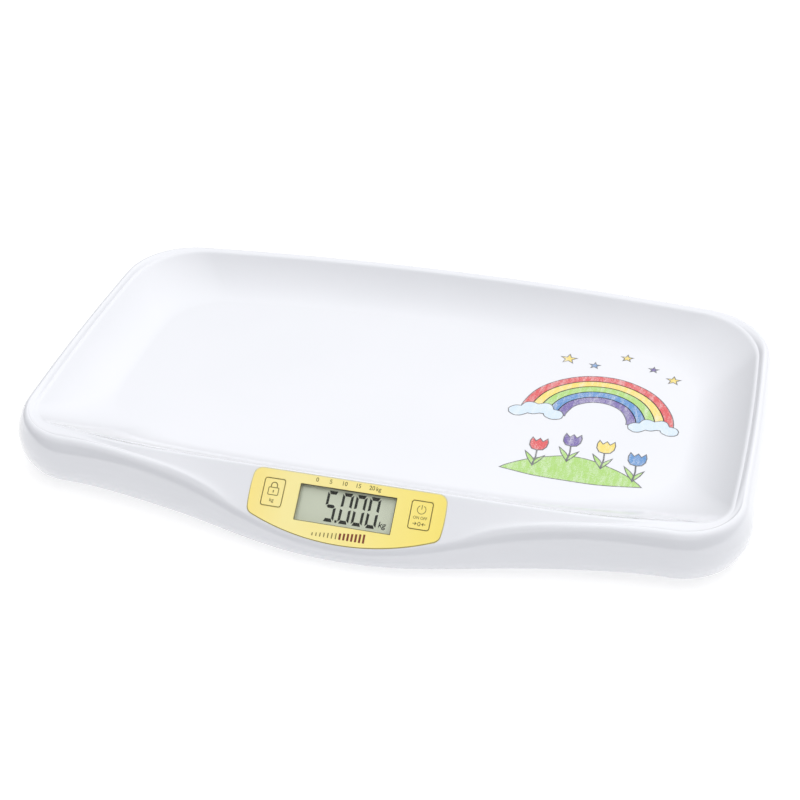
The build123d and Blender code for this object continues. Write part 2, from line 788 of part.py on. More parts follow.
with BuildPart() as base_cover:
    rim = skirt_ring(cover_tuck, nose_bottom_reach, base_bottom, lambda x, y: base_bottom)
    with BuildSketch(Plane.XY.offset(base_bottom)):
        add(Face(rim).moved(Location((0, 0, -base_bottom))))
    extrude(amount=base_thickness)

    # Screw pads
    with BuildSketch(Plane.XY.offset(base_top)):
        with Locations(*screw_positions):
            Circle(pad_radius)
    extrude(amount=pad_height)
    with BuildSketch(Plane.XY.offset(base_bottom)):
        with Locations(*screw_positions):
            Circle(screw_radius + screw_clearance)
    extrude(amount=boss_bottom - base_bottom, mode=Mode.SUBTRACT)
    with BuildSketch(Plane.XY.offset(base_bottom)):
        with Locations(*screw_positions):
            Circle(screw_head_radius + screw_clearance)
    extrude(amount=screw_seat - base_bottom, mode=Mode.SUBTRACT)

    # Pockets: a square wall, a ledge under the edge of the load cell, and a hole for the foot
    with BuildSketch(Plane.XY.offset(base_top)):
        with Locations(*foot_centers):
            Rectangle(pocket_size + 2 * cell_wall, pocket_size + 2 * cell_wall)
    extrude(amount=pocket_top - base_top)
    with BuildSketch(Plane.XY.offset(ledge_top)):
        with Locations(*foot_centers):
            Rectangle(pocket_size, pocket_size)
    extrude(amount=pocket_top - ledge_top, mode=Mode.SUBTRACT)
    with BuildSketch(Plane.XY.offset(base_top)):
        with Locations(*foot_centers):
            Rectangle(cell_size - 2 * cell_ledge_width, cell_size - 2 * cell_ledge_width)
    extrude(amount=cell_ledge_height, mode=Mode.SUBTRACT)
    hole_size = neck_size + 2 * neck_gap
    with BuildSketch(Plane.XY.offset(base_bottom)):
        with Locations(*foot_centers):
            RectangleRounded(hole_size, hole_size, neck_corner_radius + neck_gap)
    extrude(amount=base_thickness, mode=Mode.SUBTRACT)

    # Windows for the ears of the retainers, and a notch for each lead
    with BuildSketch(Plane.XY.offset(retainer_bottom)):
        with Locations(*foot_centers):
            Rectangle(retainer_ear + 2 * notch_gap, pocket_size + 4 * cell_wall)
    extrude(amount=retainer_thickness + notch_gap, mode=Mode.SUBTRACT)
    notch = lead_diameter + 2 * notch_gap
    with BuildSketch(Plane.XY.offset(lead_height - notch / 2)):
        for x, y in foot_centers:
            with Locations((x + inwards(x) * cell_size / 2, y)):
                Rectangle(4 * cell_wall, notch)
    extrude(amount=pocket_top, mode=Mode.SUBTRACT)

    # Battery box
    with BuildSketch(Plane.XY.offset(base_bottom)):
        with Locations((0, opening_middle)):
            Rectangle(2 * (box_half + box_wall), opening_run + 2 * box_wall)
    extrude(amount=box_top - base_bottom)
    with BuildSketch(Plane.XY.offset(base_bottom)):
        with Locations((0, opening_middle)):
            Rectangle(2 * box_half, opening_run)
    extrude(amount=box_roof - base_bottom, mode=Mode.SUBTRACT)
    with BuildSketch(Plane.XY.offset(base_bottom)):
        with Locations((0, opening_middle)):
            Rectangle(2 * (box_half + door_ledge), opening_run)
    extrude(amount=door_thickness, mode=Mode.SUBTRACT)

    # Slots for the door's hooks, and for the solder tails of the contacts
    with BuildSketch(Plane.XY.offset(hook_bottom - hook_lift)):
        with Locations((-hook_x, opening_rear), (hook_x, opening_rear)):
            Rectangle(hook_width + 2 * notch_gap, 4 * box_wall)
    extrude(amount=hook_thickness + hook_reach + hook_gap, mode=Mode.SUBTRACT)
    with BuildSketch(Plane.XY.offset(box_roof)):
        with Locations((box_half, row_front), (box_half, row_rear)):
            Rectangle(2 * (contact_thickness + tail_gap), tail_width + 2 * tail_gap)
    extrude(amount=box_wall, mode=Mode.SUBTRACT)

    # Hollow for a thumb, in front of the latch of the door
    with BuildSketch(Plane.XY.offset(base_bottom)):
        with Locations((0, opening_front)):
            Circle(thumb_radius)
        with Locations((0, opening_front + thumb_radius)):
            Rectangle(2 * thumb_radius, 2 * thumb_radius, mode=Mode.SUBTRACT)
    extrude(amount=thumb_depth, mode=Mode.SUBTRACT)
base_cover.part.label = "base_cover"
export_step(base_cover.part, "parts/base_cover.step")

with BuildPart() as base_screws:
    with BuildSketch(Plane.XY.offset(screw_seat)):
        with Locations(*screw_positions):
            Circle(screw_radius)
    extrude(amount=screw_length)
    with BuildSketch(Plane.XY.offset(screw_seat - screw_head)):
        with Locations(*screw_positions):
            Circle(screw_head_radius)
    extrude(amount=screw_head)
    with BuildSketch(Plane.XY.offset(screw_seat - screw_head)):
        with Locations(*screw_positions):
            Rectangle(screw_head_radius, cross_width)
            Rectangle(cross_width, screw_head_radius)
    extrude(amount=screw_head / 2, mode=Mode.SUBTRACT)
base_screws.part.label = "base_screws"
export_step(base_screws.part, "parts/base_screws.step")

# ---------------------------------------------------------------------------
# Load cells, their retainers, and the feet
# ---------------------------------------------------------------------------

gauge_end = gauge_start + gauge_length
for name, (foot_at_x, foot_at_y) in foot_positions.items():
    to_middle = inwards(foot_at_x)

    # Stamped plate whose tongue bends under the foot, with the strain gauge potted at its root
    with BuildPart() as load_cell:
        with BuildSketch(Plane.XY.offset(ledge_top)):
            with Locations((foot_at_x, foot_at_y)):
                RectangleRounded(cell_size, cell_size, cell_radius)
            slot_length = tongue_length + cell_slot
            with Locations((foot_at_x + to_middle * (tongue_shift - cell_slot / 2), foot_at_y)):
                Rectangle(slot_length, tongue_width + 2 * cell_slot, mode=Mode.SUBTRACT)
            with Locations((foot_at_x + to_middle * tongue_shift, foot_at_y)):
                Rectangle(tongue_length, tongue_width)
            with Locations((foot_at_x, foot_at_y)):
                Circle(pin_radius + pin_gap, mode=Mode.SUBTRACT)
        extrude(amount=cell_thickness)
        with BuildSketch(Plane.XY.offset(retainer_bottom)):
            with Locations((foot_at_x + to_middle * (gauge_start + gauge_length / 2), foot_at_y)):
                RectangleRounded(gauge_length, gauge_width, gauge_height / 2)
        extrude(amount=gauge_height)
    load_cell.part.label = "load_cell_" + name
    export_step(load_cell.part, "parts/load_cell_" + name + ".step")

    with BuildPart() as cell_retainer:
        with BuildSketch(Plane.XY.offset(retainer_bottom)):
            with Locations((foot_at_x, foot_at_y)):
                Rectangle(cell_size, cell_size)
                Rectangle(retainer_ear, pocket_size + 2 * cell_wall)
                Rectangle(cell_size - 2 * retainer_bar, cell_size - 2 * retainer_bar, mode=Mode.SUBTRACT)
            with Locations((foot_at_x + to_middle * cell_size / 2, foot_at_y)):
                Rectangle(3 * retainer_bar, notch, mode=Mode.SUBTRACT)
        extrude(amount=retainer_thickness)
    cell_retainer.part.label = "cell_retainer_" + name
    export_step(cell_retainer.part, "parts/cell_retainer_" + name + ".step")

    with BuildPart() as foot_cup:
        cup_bottom = pad_disc_height - cup_lip
        with BuildSketch(Plane.XY.offset(cup_bottom)):
            with Locations((foot_at_x, foot_at_y)):
                Circle(cup_radius)
        extrude(amount=cup_height + cup_lip)
        chamfer(foot_cup.edges().group_by(Axis.Z)[0], cup_lip / 2)
        chamfer(foot_cup.edges().group_by(Axis.Z)[-1], cup_lip)
        cup_top = pad_disc_height + cup_height
        with BuildSketch(Plane.XY.offset(cup_bottom)):
            with Locations((foot_at_x, foot_at_y)):
                Circle(pad_disc_radius + seat_gap)
        extrude(amount=cup_lip, mode=Mode.SUBTRACT)
        with BuildSketch(Plane.XY.offset(cup_top)):
            with Locations((foot_at_x, foot_at_y)):
                RectangleRounded(neck_size, neck_size, neck_corner_radius)
        extrude(amount=neck_height)
        with BuildSketch(Plane.XY.offset(cup_top)):
            with Locations((foot_at_x, foot_at_y)):
                Circle(stud_radius)
        extrude(amount=ledge_top - cup_top)
        with BuildSketch(Plane.XY.offset(ledge_top)):
            with Locations((foot_at_x, foot_at_y)):
                Circle(pin_radius)
        extrude(amount=pin_length)
    foot_cup.part.label = "foot_cup_" + name
    export_step(foot_cup.part, "parts/foot_cup_" + name + ".step")

    with BuildPart() as foot_pad:
        with BuildSketch():
            with Locations((foot_at_x, foot_at_y)):
                Circle(pad_disc_radius)
        extrude(amount=pad_disc_height)
        chamfer(foot_pad.edges().group_by(Axis.Z)[0], pad_disc_chamfer)
    foot_pad.part.label = "foot_pad_" + name
    export_step(foot_pad.part, "parts/foot_pad_" + name + ".step")

# ---------------------------------------------------------------------------
# Battery door, cells and contacts
# ---------------------------------------------------------------------------

door_front = opening_front + door_gap
door_rear = opening_rear - door_gap
with BuildPart() as battery_door:
    with BuildSketch(Plane.XY.offset(base_bottom)):
        with Locations((0, opening_middle)):
            Rectangle(2 * (box_half + door_ledge - door_gap), door_rear - door_front)
        slit_at = (latch_width + latch_slit) / 2
        with Locations((-slit_at, door_front + latch_length / 2), (slit_at, door_front + latch_length / 2)):
            Rectangle(latch_slit, latch_length, mode=Mode.SUBTRACT)
    extrude(amount=door_thickness)

    # Hooks at the rear, and the nib of the latch
    with BuildSketch(Plane.XY.offset(door_top)):
        with Locations((-hook_x, door_rear - hook_neck / 2), (hook_x, door_rear - hook_neck / 2)):
            Rectangle(hook_width, hook_neck)
        with Locations((0, door_front + latch_nib_setback + latch_nib / 2)):
            Rectangle(latch_width, latch_nib)
    extrude(amount=hook_height)
    with BuildSketch(Plane.XY.offset(hook_bottom)):
        hook_run = hook_tip - door_rear + hook_neck
        with Locations((-hook_x, hook_tip - hook_run / 2), (hook_x, hook_tip - hook_run / 2)):
            Rectangle(hook_width, hook_run)
    extrude(amount=hook_thickness)

    # Grip grooves across the latch
    with BuildSketch(Plane.XY.offset(base_bottom)):
        with GridLocations(0, 2 * grip_width, 1, 3):
            with Locations((0, door_front + latch_length / 2)):
                Rectangle(latch_width - 2 * grip_width, grip_width)
    extrude(amount=grip_depth, mode=Mode.SUBTRACT)
battery_door.part.label = "battery_door"
export_step(battery_door.part, "parts/battery_door.step")

# Two rows of two cells. The front row points right and the rear row left
body_length = aaa_length - nub_length
for row, row_y, direction in (("front", row_front, 1), ("rear", row_rear, -1)):
    row_start = direction * (contact_thickness + spring_length - box_half)
    for place, name in enumerate(("first", "second")):
        cell_start = row_start + direction * place * aaa_length
        along = Plane(origin=(cell_start, row_y, cell_axis), x_dir=(0, 1, 0), z_dir=(direction, 0, 0))
        with BuildPart() as battery_cell:
            with BuildSketch(along):
                Circle(aaa_radius)
            extrude(amount=body_length)
            chamfer(battery_cell.edges().filter_by(GeomType.CIRCLE), cell_chamfer)
            with BuildSketch(along.offset(body_length)):
                Circle(nub_radius)
            extrude(amount=nub_length)
        battery_cell.part.label = "battery_cell_" + row + "_" + name
        export_step(battery_cell.part, "parts/battery_cell_" + row + "_" + name + ".step")

# Contacts: flat plates against the end walls. A leaf spring bows out to the flat end of a cell,
# a blunt cone meets a raised end, and a solder tail rises through the roof of the box
leaf_rise = contact_size / 2 - contact_thickness
tail_bottom = cell_axis + contact_size / 2
tail_top = box_top + tail_rise
contacts = (
    ("contact_bridge", -1, [row_front], [row_rear]),
    ("contact_positive", 1, [], [row_front]),
    ("contact_negative", 1, [row_rear], []),
)
for name, side, leaf_rows, cone_rows in contacts:
    rows = sorted(leaf_rows + cone_rows)
    plate_x = side * (box_half - contact_thickness / 2)
    leaf_x = plate_x - side * spring_length
    with BuildPart() as contact:
        with Locations((plate_x, (rows[0] + rows[-1]) / 2, cell_axis)):
            Box(contact_thickness, rows[-1] - rows[0] + contact_size, contact_size)
        for row_y in leaf_rows:
            with BuildSketch(Plane(origin=(0, row_y, 0), x_dir=(1, 0, 0), z_dir=(0, -1, 0))):
                with BuildLine() as bow:
                    Polyline(
                        (plate_x, cell_axis - leaf_rise),
                        (leaf_x, cell_axis - leaf_rise / 3),
                        (leaf_x, cell_axis + leaf_rise / 3),
                        (plate_x - side * 3 * contact_thickness, cell_axis + leaf_rise),
                    )
                trace(bow.line, line_width=contact_thickness)
            extrude(amount=spring_width / 2, both=True)
        for row_y in cone_rows:
            cone_base = Plane(
                origin=(side * (box_half - contact_thickness), row_y, cell_axis),
                x_dir=(0, 1, 0),
                z_dir=(-side, 0, 0),
            )
            with BuildSketch(cone_base):
                Circle(dimple_radius)
            with BuildSketch(cone_base.offset(dimple_length)):
                Circle(dimple_radius / 2)
            loft()
        if side > 0:
            with Locations((plate_x, rows[0], (tail_bottom + tail_top) / 2)):
                Box(contact_thickness, tail_width, tail_top - tail_bottom)
    contact.part.label = name
    export_step(contact.part, "parts/" + name + ".step")

# ---------------------------------------------------------------------------
# Leads: each one is a single piece, straight runs joined by tangent arcs
# ---------------------------------------------------------------------------


def lead(name, points):
    """Make and export the lead that follows the given points."""
    corners = [Vector(*point) for point in points]
    runs = [end - start for start, end in zip(corners, corners[1:])]
    radii = []
    for before, after in zip(runs, runs[1:]):
        half_turn = radians(before.get_angle(after)) / 2
        radii.append(lead_share * min(before.length, after.length) / tan(half_turn))
    with BuildPart() as wire:
        with BuildLine() as path:
            FilletPolyline(*corners, radius=radii)
        with BuildSketch(Plane(origin=path.line @ 0, z_dir=path.line % 0)):
            Circle(lead_diameter / 2)
        sweep(path=path.line)
    plain_volume = pi * (lead_diameter / 2) ** 2 * sum(edge.length for edge in path.line.edges())
    print(name, "radii", [round(radius, 1) for radius in radii])
    print(name, "volume", round(wire.part.volume, 1), "section x length", round(plain_volume, 1))
    wire.part.label = name
    export_step(wire.part, "parts/" + name + ".step")


lead_floor = base_top + lead_floor_gap + lead_diameter / 2
lead_rise_y = opening_rear + box_wall + lead_rise_gap
for name, side in (("left", -1), ("right", 1)):
    start_x = foot_x - gauge_end
    routes = {
        "rear": (header_offset - lead_spread, rear_route),
        "front": (header_offset + lead_spread, front_route),
    }
    for end, (header_x, floor_route) in routes.items():
        foot_y = foot_rear if end == "rear" else foot_front
        header_end = on_facet(side * header_x, header_drop, board_back + header_height)
        header_start = on_facet(side * header_x, header_drop, board_back + header_height + lead_approach)
        route_end = lead_rise_y + lead_lean
        points = [(side * start_x, foot_y, lead_height)]
        points.append((side * (start_x - lead_exit), foot_y, lead_height))
        for x_share, y_share in floor_route:
            x = foot_x + (header_x - foot_x) * x_share
            points.append((side * x, foot_y + (route_end - foot_y) * y_share, lead_floor))
        points.append((side * header_x, route_end, lead_floor))
        points.append((side * header_x, lead_rise_y, header_start.Z - lead_floor_gap * 2))
        points.extend([header_start, header_end])
        lead("cell_lead_" + end + "_" + name, points)

tail_middle = box_top + tail_rise / 2
for name, row_y in (("positive", row_front), ("negative", row_rear)):
    corner = Vector(battery_lead_x, row_y, tail_middle)
    local = facet.to_local_coords(corner)
    board_end = facet.from_local_coords(Vector(local.X, local.Y, -board_back))
    lead("battery_lead_" + name, [(box_half, row_y, tail_middle), corner, board_end])
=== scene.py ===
# %% [markdown]
# A digital baby weighing scale, dressed for the camera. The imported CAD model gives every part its
# place. This script adds what CAD leaves out: the smooth moulded tray, the finishes, the printing on
# the facia and on the keys, the digits of the display and the picture on the tray floor.

# %% Load the frame
import json
from math import atan, cos, exp, pi, radians, sin, sqrt, tan

import bmesh
import bpy
import numpy as np
from mathutils import Matrix, Vector


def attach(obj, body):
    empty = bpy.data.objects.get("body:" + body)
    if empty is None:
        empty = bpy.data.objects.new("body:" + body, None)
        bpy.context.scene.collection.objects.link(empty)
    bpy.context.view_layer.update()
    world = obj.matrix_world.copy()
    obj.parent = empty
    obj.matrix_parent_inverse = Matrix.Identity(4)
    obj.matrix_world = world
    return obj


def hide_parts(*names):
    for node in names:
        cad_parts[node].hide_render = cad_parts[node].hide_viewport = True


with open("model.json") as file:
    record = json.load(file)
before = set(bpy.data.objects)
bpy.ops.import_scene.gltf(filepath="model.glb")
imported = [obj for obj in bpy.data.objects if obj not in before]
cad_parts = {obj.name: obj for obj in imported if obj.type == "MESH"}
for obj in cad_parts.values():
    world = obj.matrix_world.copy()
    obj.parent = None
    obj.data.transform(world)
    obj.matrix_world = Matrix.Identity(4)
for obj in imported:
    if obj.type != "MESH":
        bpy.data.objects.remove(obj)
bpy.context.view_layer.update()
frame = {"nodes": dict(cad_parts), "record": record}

MM = 0.001  # sizes below are in millimetres, and Blender works in metres

# %% [markdown]
# The scale stands a good metre from the camera, which looks down on it from the front and a little
# from the right. A long lens at that distance keeps the tray's sides almost parallel.

# %% Camera
CAMERA_YAW = radians(-15.73)
CAMERA_PITCH = radians(35.58)
CAMERA_ROLL = radians(-1.20)
CAMERA_DISTANCE = 1.2252
CAMERA_TARGET = Vector((0.0005, -0.0034, 0.025))
CAMERA_LENS = 71.04
CAMERA_SHIFT = (-0.0011, 0.0039)
CAMERA_CLIP = (0.05, 50.0)


def make_camera():
    ahead = Vector(
        (
            sin(CAMERA_YAW) * cos(CAMERA_PITCH),
            cos(CAMERA_YAW) * cos(CAMERA_PITCH),
            -sin(CAMERA_PITCH),
        )
    )
    level = Vector((cos(CAMERA_YAW), -sin(CAMERA_YAW), 0))
    upright = level.cross(ahead)
    right = level * cos(CAMERA_ROLL) + upright * sin(CAMERA_ROLL)
    up = upright * cos(CAMERA_ROLL) - level * sin(CAMERA_ROLL)
    data = bpy.data.cameras.new("camera")
    data.lens = CAMERA_LENS
    data.shift_x, data.shift_y = CAMERA_SHIFT
    data.clip_start, data.clip_end = CAMERA_CLIP
    camera = bpy.data.objects.new("camera", data)
    place = Matrix((right, up, -ahead)).transposed().to_4x4()
    place.translation = CAMERA_TARGET - ahead * CAMERA_DISTANCE
    camera.matrix_world = place
    bpy.context.scene.collection.objects.link(camera)
    bpy.context.scene.camera = camera
    print("camera at", [round(value, 3) for value in place.translation])


make_camera()

# %% [markdown]
# Materials are easier to read as sums than as boxes and wires. A Wire stands for one value on its way
# through a material, and each sum or product of wires adds the Math node that works it out. A Finish
# is one material, with one method that adds any other kind of node. A Tent is the light around the
# scale, which is built with the same nodes.


# %% Wires and finishes
class Wire:
    """A value on its way through a material."""

    def __init__(self, finish, socket):
        self.finish = finish
        self.socket = socket

    def maths(self, operation, first, second):
        node = self.finish.node("ShaderNodeMath", {"operation": operation}, {0: first, 1: second})
        return Wire(self.finish, node.outputs[0])

    def __add__(self, other):
        return self.maths("ADD", self, other)

    def __radd__(self, other):
        return self.maths("ADD", other, self)

    def __sub__(self, other):
        return self.maths("SUBTRACT", self, other)

    def __rsub__(self, other):
        return self.maths("SUBTRACT", other, self)

    def __mul__(self, other):
        return self.maths("MULTIPLY", self, other)

    def __rmul__(self, other):
        return self.maths("MULTIPLY", other, self)

    def __pow__(self, other):
        return self.maths("POWER", self, other)


class Finish:
    """A material, built up node by node round its Principled shader."""

    def __init__(self, name, **constants):
        self.material = bpy.data.materials.new(name)
        self.material.use_nodes = True
        self.tree = self.material.node_tree
        self.shader = self.tree.nodes["Principled BSDF"]
        self.output = self.tree.nodes["Material Output"]
        for socket, value in constants.items():
            self.shader.inputs[socket.replace("_", " ").title()].default_value = value

    def node(self, kind, settings=None, sockets=None):
        """Add a node of a kind, with its settings first and then its sockets' values or links."""
        node = self.tree.nodes.new(kind)
        for name, value in (settings or {}).items():
            if name == "stops":
                for stop, (position, color) in zip(self.stops_of(node, len(value)), value):
                    stop.position = position
                    stop.color = color
            else:
                setattr(node, name, value)
        for name, value in (sockets or {}).items():
            self.plug(node.inputs[name], value)
        return node

    def stops_of(self, node, count):
        stops = node.color_ramp.elements
        while len(stops) < count:
            stops.new(0.5)
        return stops

    def plug(self, socket, value):
        if isinstance(value, Wire):
            self.tree.links.new(value.socket, socket)
        else:
            socket.default_value = value

    def wire(self, node, output=0):
        return Wire(self, node.outputs[output])

    def place(self, stretch=(1, 1, 1)):
        """Position on the piece, in metres times the stretch."""
        here = self.node("ShaderNodeTexCoord")
        mapping = self.node("ShaderNodeMapping", {}, {"Vector": self.wire(here, "Object"), "Scale": stretch})
        return self.wire(mapping)

    def noise(self, scale, detail=2.0, stretch=(1, 1, 1)):
        """Soft random blotches, about a metre divided by the scale across."""
        sockets = {"Vector": self.place(stretch), "Scale": scale, "Detail": detail}
        return self.wire(self.node("ShaderNodeTexNoise", {}, sockets), "Fac")

    def along(self, axis):
        """Distance along an axis, in metres."""
        here = self.node("ShaderNodeTexCoord")
        split = self.node("ShaderNodeSeparateXYZ", {}, {0: self.wire(here, "Object")})
        return self.wire(split, axis)

    def blend(self, share, first, second):
        """Mix of two colours."""
        node = self.node("ShaderNodeMix", {"data_type": "RGBA"}, {0: share, 6: first, 7: second})
        return self.wire(node, 2)

    def ramp(self, value, *stops):
        """Colours at the given places of a value."""
        return self.wire(self.node("ShaderNodeValToRGB", {"stops": stops}, {"Fac": value}))

    def color(self, value):
        self.plug(self.shader.inputs["Base Color"], value)
        return self

    def rough(self, value):
        self.plug(self.shader.inputs["Roughness"], value)
        return self

    def bumps(self, height, depth):
        """Relief of the surface: a height from 0 to 1, times a depth in metres."""
        bump = self.node("ShaderNodeBump", {}, {"Height": height, "Distance": depth})
        self.plug(self.shader.inputs["Normal"], self.wire(bump))
        return self


class Tent(Finish):
    """Light of the world, built up node by node round its Background shader."""

    def __init__(self, name):
        self.world = bpy.data.worlds.new(name)
        self.world.use_nodes = True
        self.tree = self.world.node_tree
        self.shader = self.tree.nodes["Background"]


def rgb(code):
    """Colour for a shader, which is linear, from its six-digit sRGB code."""
    parts = [int(code[start : start + 2], 16) / 255 for start in (0, 2, 4)]
    return (*[part / 12.92 if part < 0.04 else ((part + 0.055) / 1.055) ** 2.4 for part in parts], 1)


print("shader helpers ready")

# %% [markdown]
# The tray is injection-moulded ABS with a polished surface. Its white has a cool cast. No moulding is
# perfectly even: the gloss varies in wide soft blotches, and a faint orange peel bends reflections.
# The inner mouldings, the leads and the rubber are duller, with a deeper grain.

# %% Moulded plastics
# Depth of the relief of a surface, in metres
INK_GRAIN = 0.000005
POLISH = 0.00001
FINE_GRAIN = 0.00002
GRAIN = 0.00004
RUBBER_GRAIN = 0.00008
GLOSS_SPREAD = 0.06
COAT_ROUGHNESS = 0.12


def moulded(name, light, dark, roughness, grain, depth, coat=0.0):
    """Moulded plastic between two near colours, with uneven gloss and a fine relief."""
    finish = Finish(name, coat_weight=coat, coat_roughness=COAT_ROUGHNESS)
    finish.color(finish.blend(finish.noise(9.0), rgb(light), rgb(dark)))
    finish.rough(finish.noise(35.0) * GLOSS_SPREAD + (roughness - GLOSS_SPREAD / 2))
    return finish.bumps(finish.noise(grain), depth)


finishes = {
    "body_white": moulded("body_white", "e6e7ed", "e0e2e8", 0.12, 420.0, POLISH, 1.0),
    "cover_white": moulded("cover_white", "e8e9ee", "dfe0e6", 0.45, 2600.0, GRAIN),
    "inner_plastic": moulded("inner_plastic", "e4e2dc", "d8d6d0", 0.50, 1800.0, GRAIN),
    "header_white": moulded("header_white", "e9e6da", "dcd8ca", 0.42, 1800.0, FINE_GRAIN),
    "black_resin": moulded("black_resin", "1a1a1c", "121214", 0.38, 1500.0, GRAIN),
    "soft_strip": moulded("soft_strip", "5a5c60", "3c3e42", 0.70, 2400.0, GRAIN),
    "pad_rubber": moulded("pad_rubber", "6a6c70", "55575b", 0.78, 2200.0, RUBBER_GRAIN),
    "lead_white": moulded("lead_white", "e2e2de", "cfcfca", 0.42, 1400.0, FINE_GRAIN),
    "lead_red": moulded("lead_red", "b3211d", "931714", 0.42, 1400.0, FINE_GRAIN),
    "lead_black": moulded("lead_black", "1c1c1e", "101012", 0.42, 1400.0, FINE_GRAIN),
}
print("moulded finishes:", len(finishes))

# %% [markdown]
# The facia is a printed film: pale yellow left of the window and fuller to the right, where the ink is
# denser. The keys wear the same print. A fine texture of the film breaks up the reflections.

# %% Yellow film
FILM_HALF = 0.0712  # in metres, like every place that a shader reads


def yellow_film(name):
    finish = Finish(name)
    share = finish.along("X") * (0.5 / FILM_HALF) + 0.5
    tone = finish.ramp(
        share,
        (0.0, rgb("fde88a")),
        (0.2, rgb("fcf0a6")),
        (0.5, rgb("fdee9c")),
        (0.75, rgb("fdec86")),
        (1.0, rgb("fde972")),
    )
    finish.color(finish.blend(finish.noise(60.0) * 0.3, tone, rgb("fbe384")))
    finish.rough(finish.noise(120.0) * 0.08 + 0.30)
    return finish.bumps(finish.noise(3200.0), POLISH)


finishes["facia_yellow"] = yellow_film("facia_yellow")
finishes["key_yellow"] = yellow_film("key_yellow")
print("yellow films ready")

# %% [markdown]
# The lens is clear acrylic. What shows of it is only its gloss, so it is mostly a transparent shader,
# with a mirror-like one mixed in more strongly where the surface is seen at a glancing angle. Below it
# lies the liquid-crystal glass, over a grey-green reflector.

# %% Lens and display glass
LENS_GLOSS = 0.04
GLANCING_GLOSS = 0.35


def clear_lens(name):
    finish = Finish(name, roughness=0.04)
    finish.color(finish.blend(finish.noise(40.0), rgb("0c0d0c"), rgb("161716")))
    glancing = finish.node("ShaderNodeLayerWeight", {}, {"Blend": 0.35})
    clear = finish.node("ShaderNodeBsdfTransparent", {}, {"Color": rgb("fdfefc")})
    share = finish.wire(glancing, "Facing") * GLANCING_GLOSS + LENS_GLOSS
    sockets = {0: share, 1: finish.wire(clear), 2: finish.wire(finish.shader)}
    mixed = finish.node("ShaderNodeMixShader", {}, sockets)
    finish.plug(finish.output.inputs["Surface"], finish.wire(mixed))
    return finish


def display_glass(name):
    """Liquid-crystal glass over its grey-green reflector, which sparkles finely."""
    finish = Finish(name)
    finish.color(finish.blend(finish.noise(2500.0), rgb("f2f6e4"), rgb("f8fbee")))
    finish.rough(finish.noise(300.0) * 0.1 + 0.28)
    return finish.bumps(finish.noise(2500.0), POLISH)


finishes["clear_window"] = clear_lens("clear_window")
finishes["display_glass"] = display_glass("display_glass")
print("lens and glass ready")

# %% [markdown]
# Metals: screws and stamped plates are zinc-plated steel, dull with a brushed grain. The contacts are
# nickel, brighter. Battery cells have a printed steel case. The board is green solder mask over copper.


# %% Metals and board
def metal(name, light, dark, roughness, stretch):
    finish = Finish(name, metallic=1.0)
    finish.color(finish.blend(finish.noise(90.0), rgb(light), rgb(dark)))
    finish.rough(finish.noise(700.0, 3.0, stretch) * 0.2 + roughness)
    return finish.bumps(finish.noise(900.0, 3.0, stretch), POLISH)


def battery_case(name):
    """Grey sleeve with a darker band towards one end, under a clear film."""
    finish = Finish(name, metallic=0.6)
    band = finish.noise(14.0, 0.0, (1.0, 0.0, 0.0))
    finish.color(finish.blend(band, rgb("8f949b"), rgb("5d6570")))
    finish.rough(finish.noise(200.0) * 0.1 + 0.28)
    return finish.bumps(finish.noise(1500.0), POLISH)


def board_green(name):
    """Solder mask: the tracks below show as slightly lighter lines."""
    finish = Finish(name)
    tracks = finish.node("ShaderNodeTexVoronoi", {}, {"Vector": finish.place(), "Scale": 320.0})
    finish.color(finish.blend(finish.wire(tracks, "Distance") ** 0.5, rgb("1f6b3c"), rgb("124a28")))
    finish.rough(finish.noise(300.0) * 0.1 + 0.32)
    return finish.bumps(finish.wire(tracks, "Distance"), FINE_GRAIN)


finishes["zinc_steel"] = metal("zinc_steel", "c9ccce", "aeb2b6", 0.28, (1, 8, 8))
finishes["cell_steel"] = metal("cell_steel", "b9bcbe", "9ea2a5", 0.34, (1, 10, 10))
finishes["contact_nickel"] = metal("contact_nickel", "d6d3c8", "bdb9ac", 0.20, (6, 1, 1))
finishes["battery_case"] = battery_case("battery_case")
finishes["board_green"] = board_green("board_green")
print("finishes:", len(finishes))

# %% [markdown]
# Every CAD node says which material slot it belongs to, and its finish of the same name goes on here.
# The nodes keep their shapes: boards, load cells, contacts and screws are complete as they come.


# %% Dress the CAD nodes
def dress_nodes():
    for row in frame["record"]["subparts"]:
        finish = finishes[row["material_slot"]]
        node = frame["nodes"][row["node"]]
        if not node.material_slots:
            node.data.materials.append(finish.material)
        for slot in node.material_slots:
            slot.material = finish.material


dress_nodes()

# %% [markdown]
# The tray is one thin moulding. In the mould it is a stack of level outlines: the skirt, the rim, the
# wall of the basin and the flat floor. Each outline here is a ring of points, and neighbouring rings
# are joined by quads. Far more rings than the CAD model has make the curves smooth under gloss.

# %% Sizes of the tray
HALF_LENGTH = 280.0
HALF_DEPTH = 175.0
REAR_BOW = 17.0
END_BOW = 4.0
REAR_RADIUS = 63.0
FRONT_RADIUS = 54.0
SKIRT_BOTTOM = 7.0
SHOULDER = 44.0
BELLY_SHARE = 19.5 / 37.0
BOTTOM_TUCK = 5.0
BELLY_TUCK = 0.1
SHOULDER_TUCK = 6.5
WALL = 2.6
NOSE_REACH = 40.0
NOSE_WIDTH = 128.0
NOSE_POWER = 2.13
NOSE_STATIONS = (0.0, 40.0, 80.0, 120.0, 160.0)
BELLY_REACH = 35.4
BOTTOM_REACH = 39.0
FACET_TILT = radians(37.9)
FACET_SLOPE = tan(FACET_TILT)
FRONT_REACH = HALF_DEPTH - BELLY_REACH
CREST_INSET = 5.7
CREST_REACH = FRONT_REACH - CREST_INSET
CREST_HEIGHT = 50.7
CREST_FLAT = 76.0
CREST_BOW = 22.0
CREST_SIDE = CREST_REACH - CREST_BOW
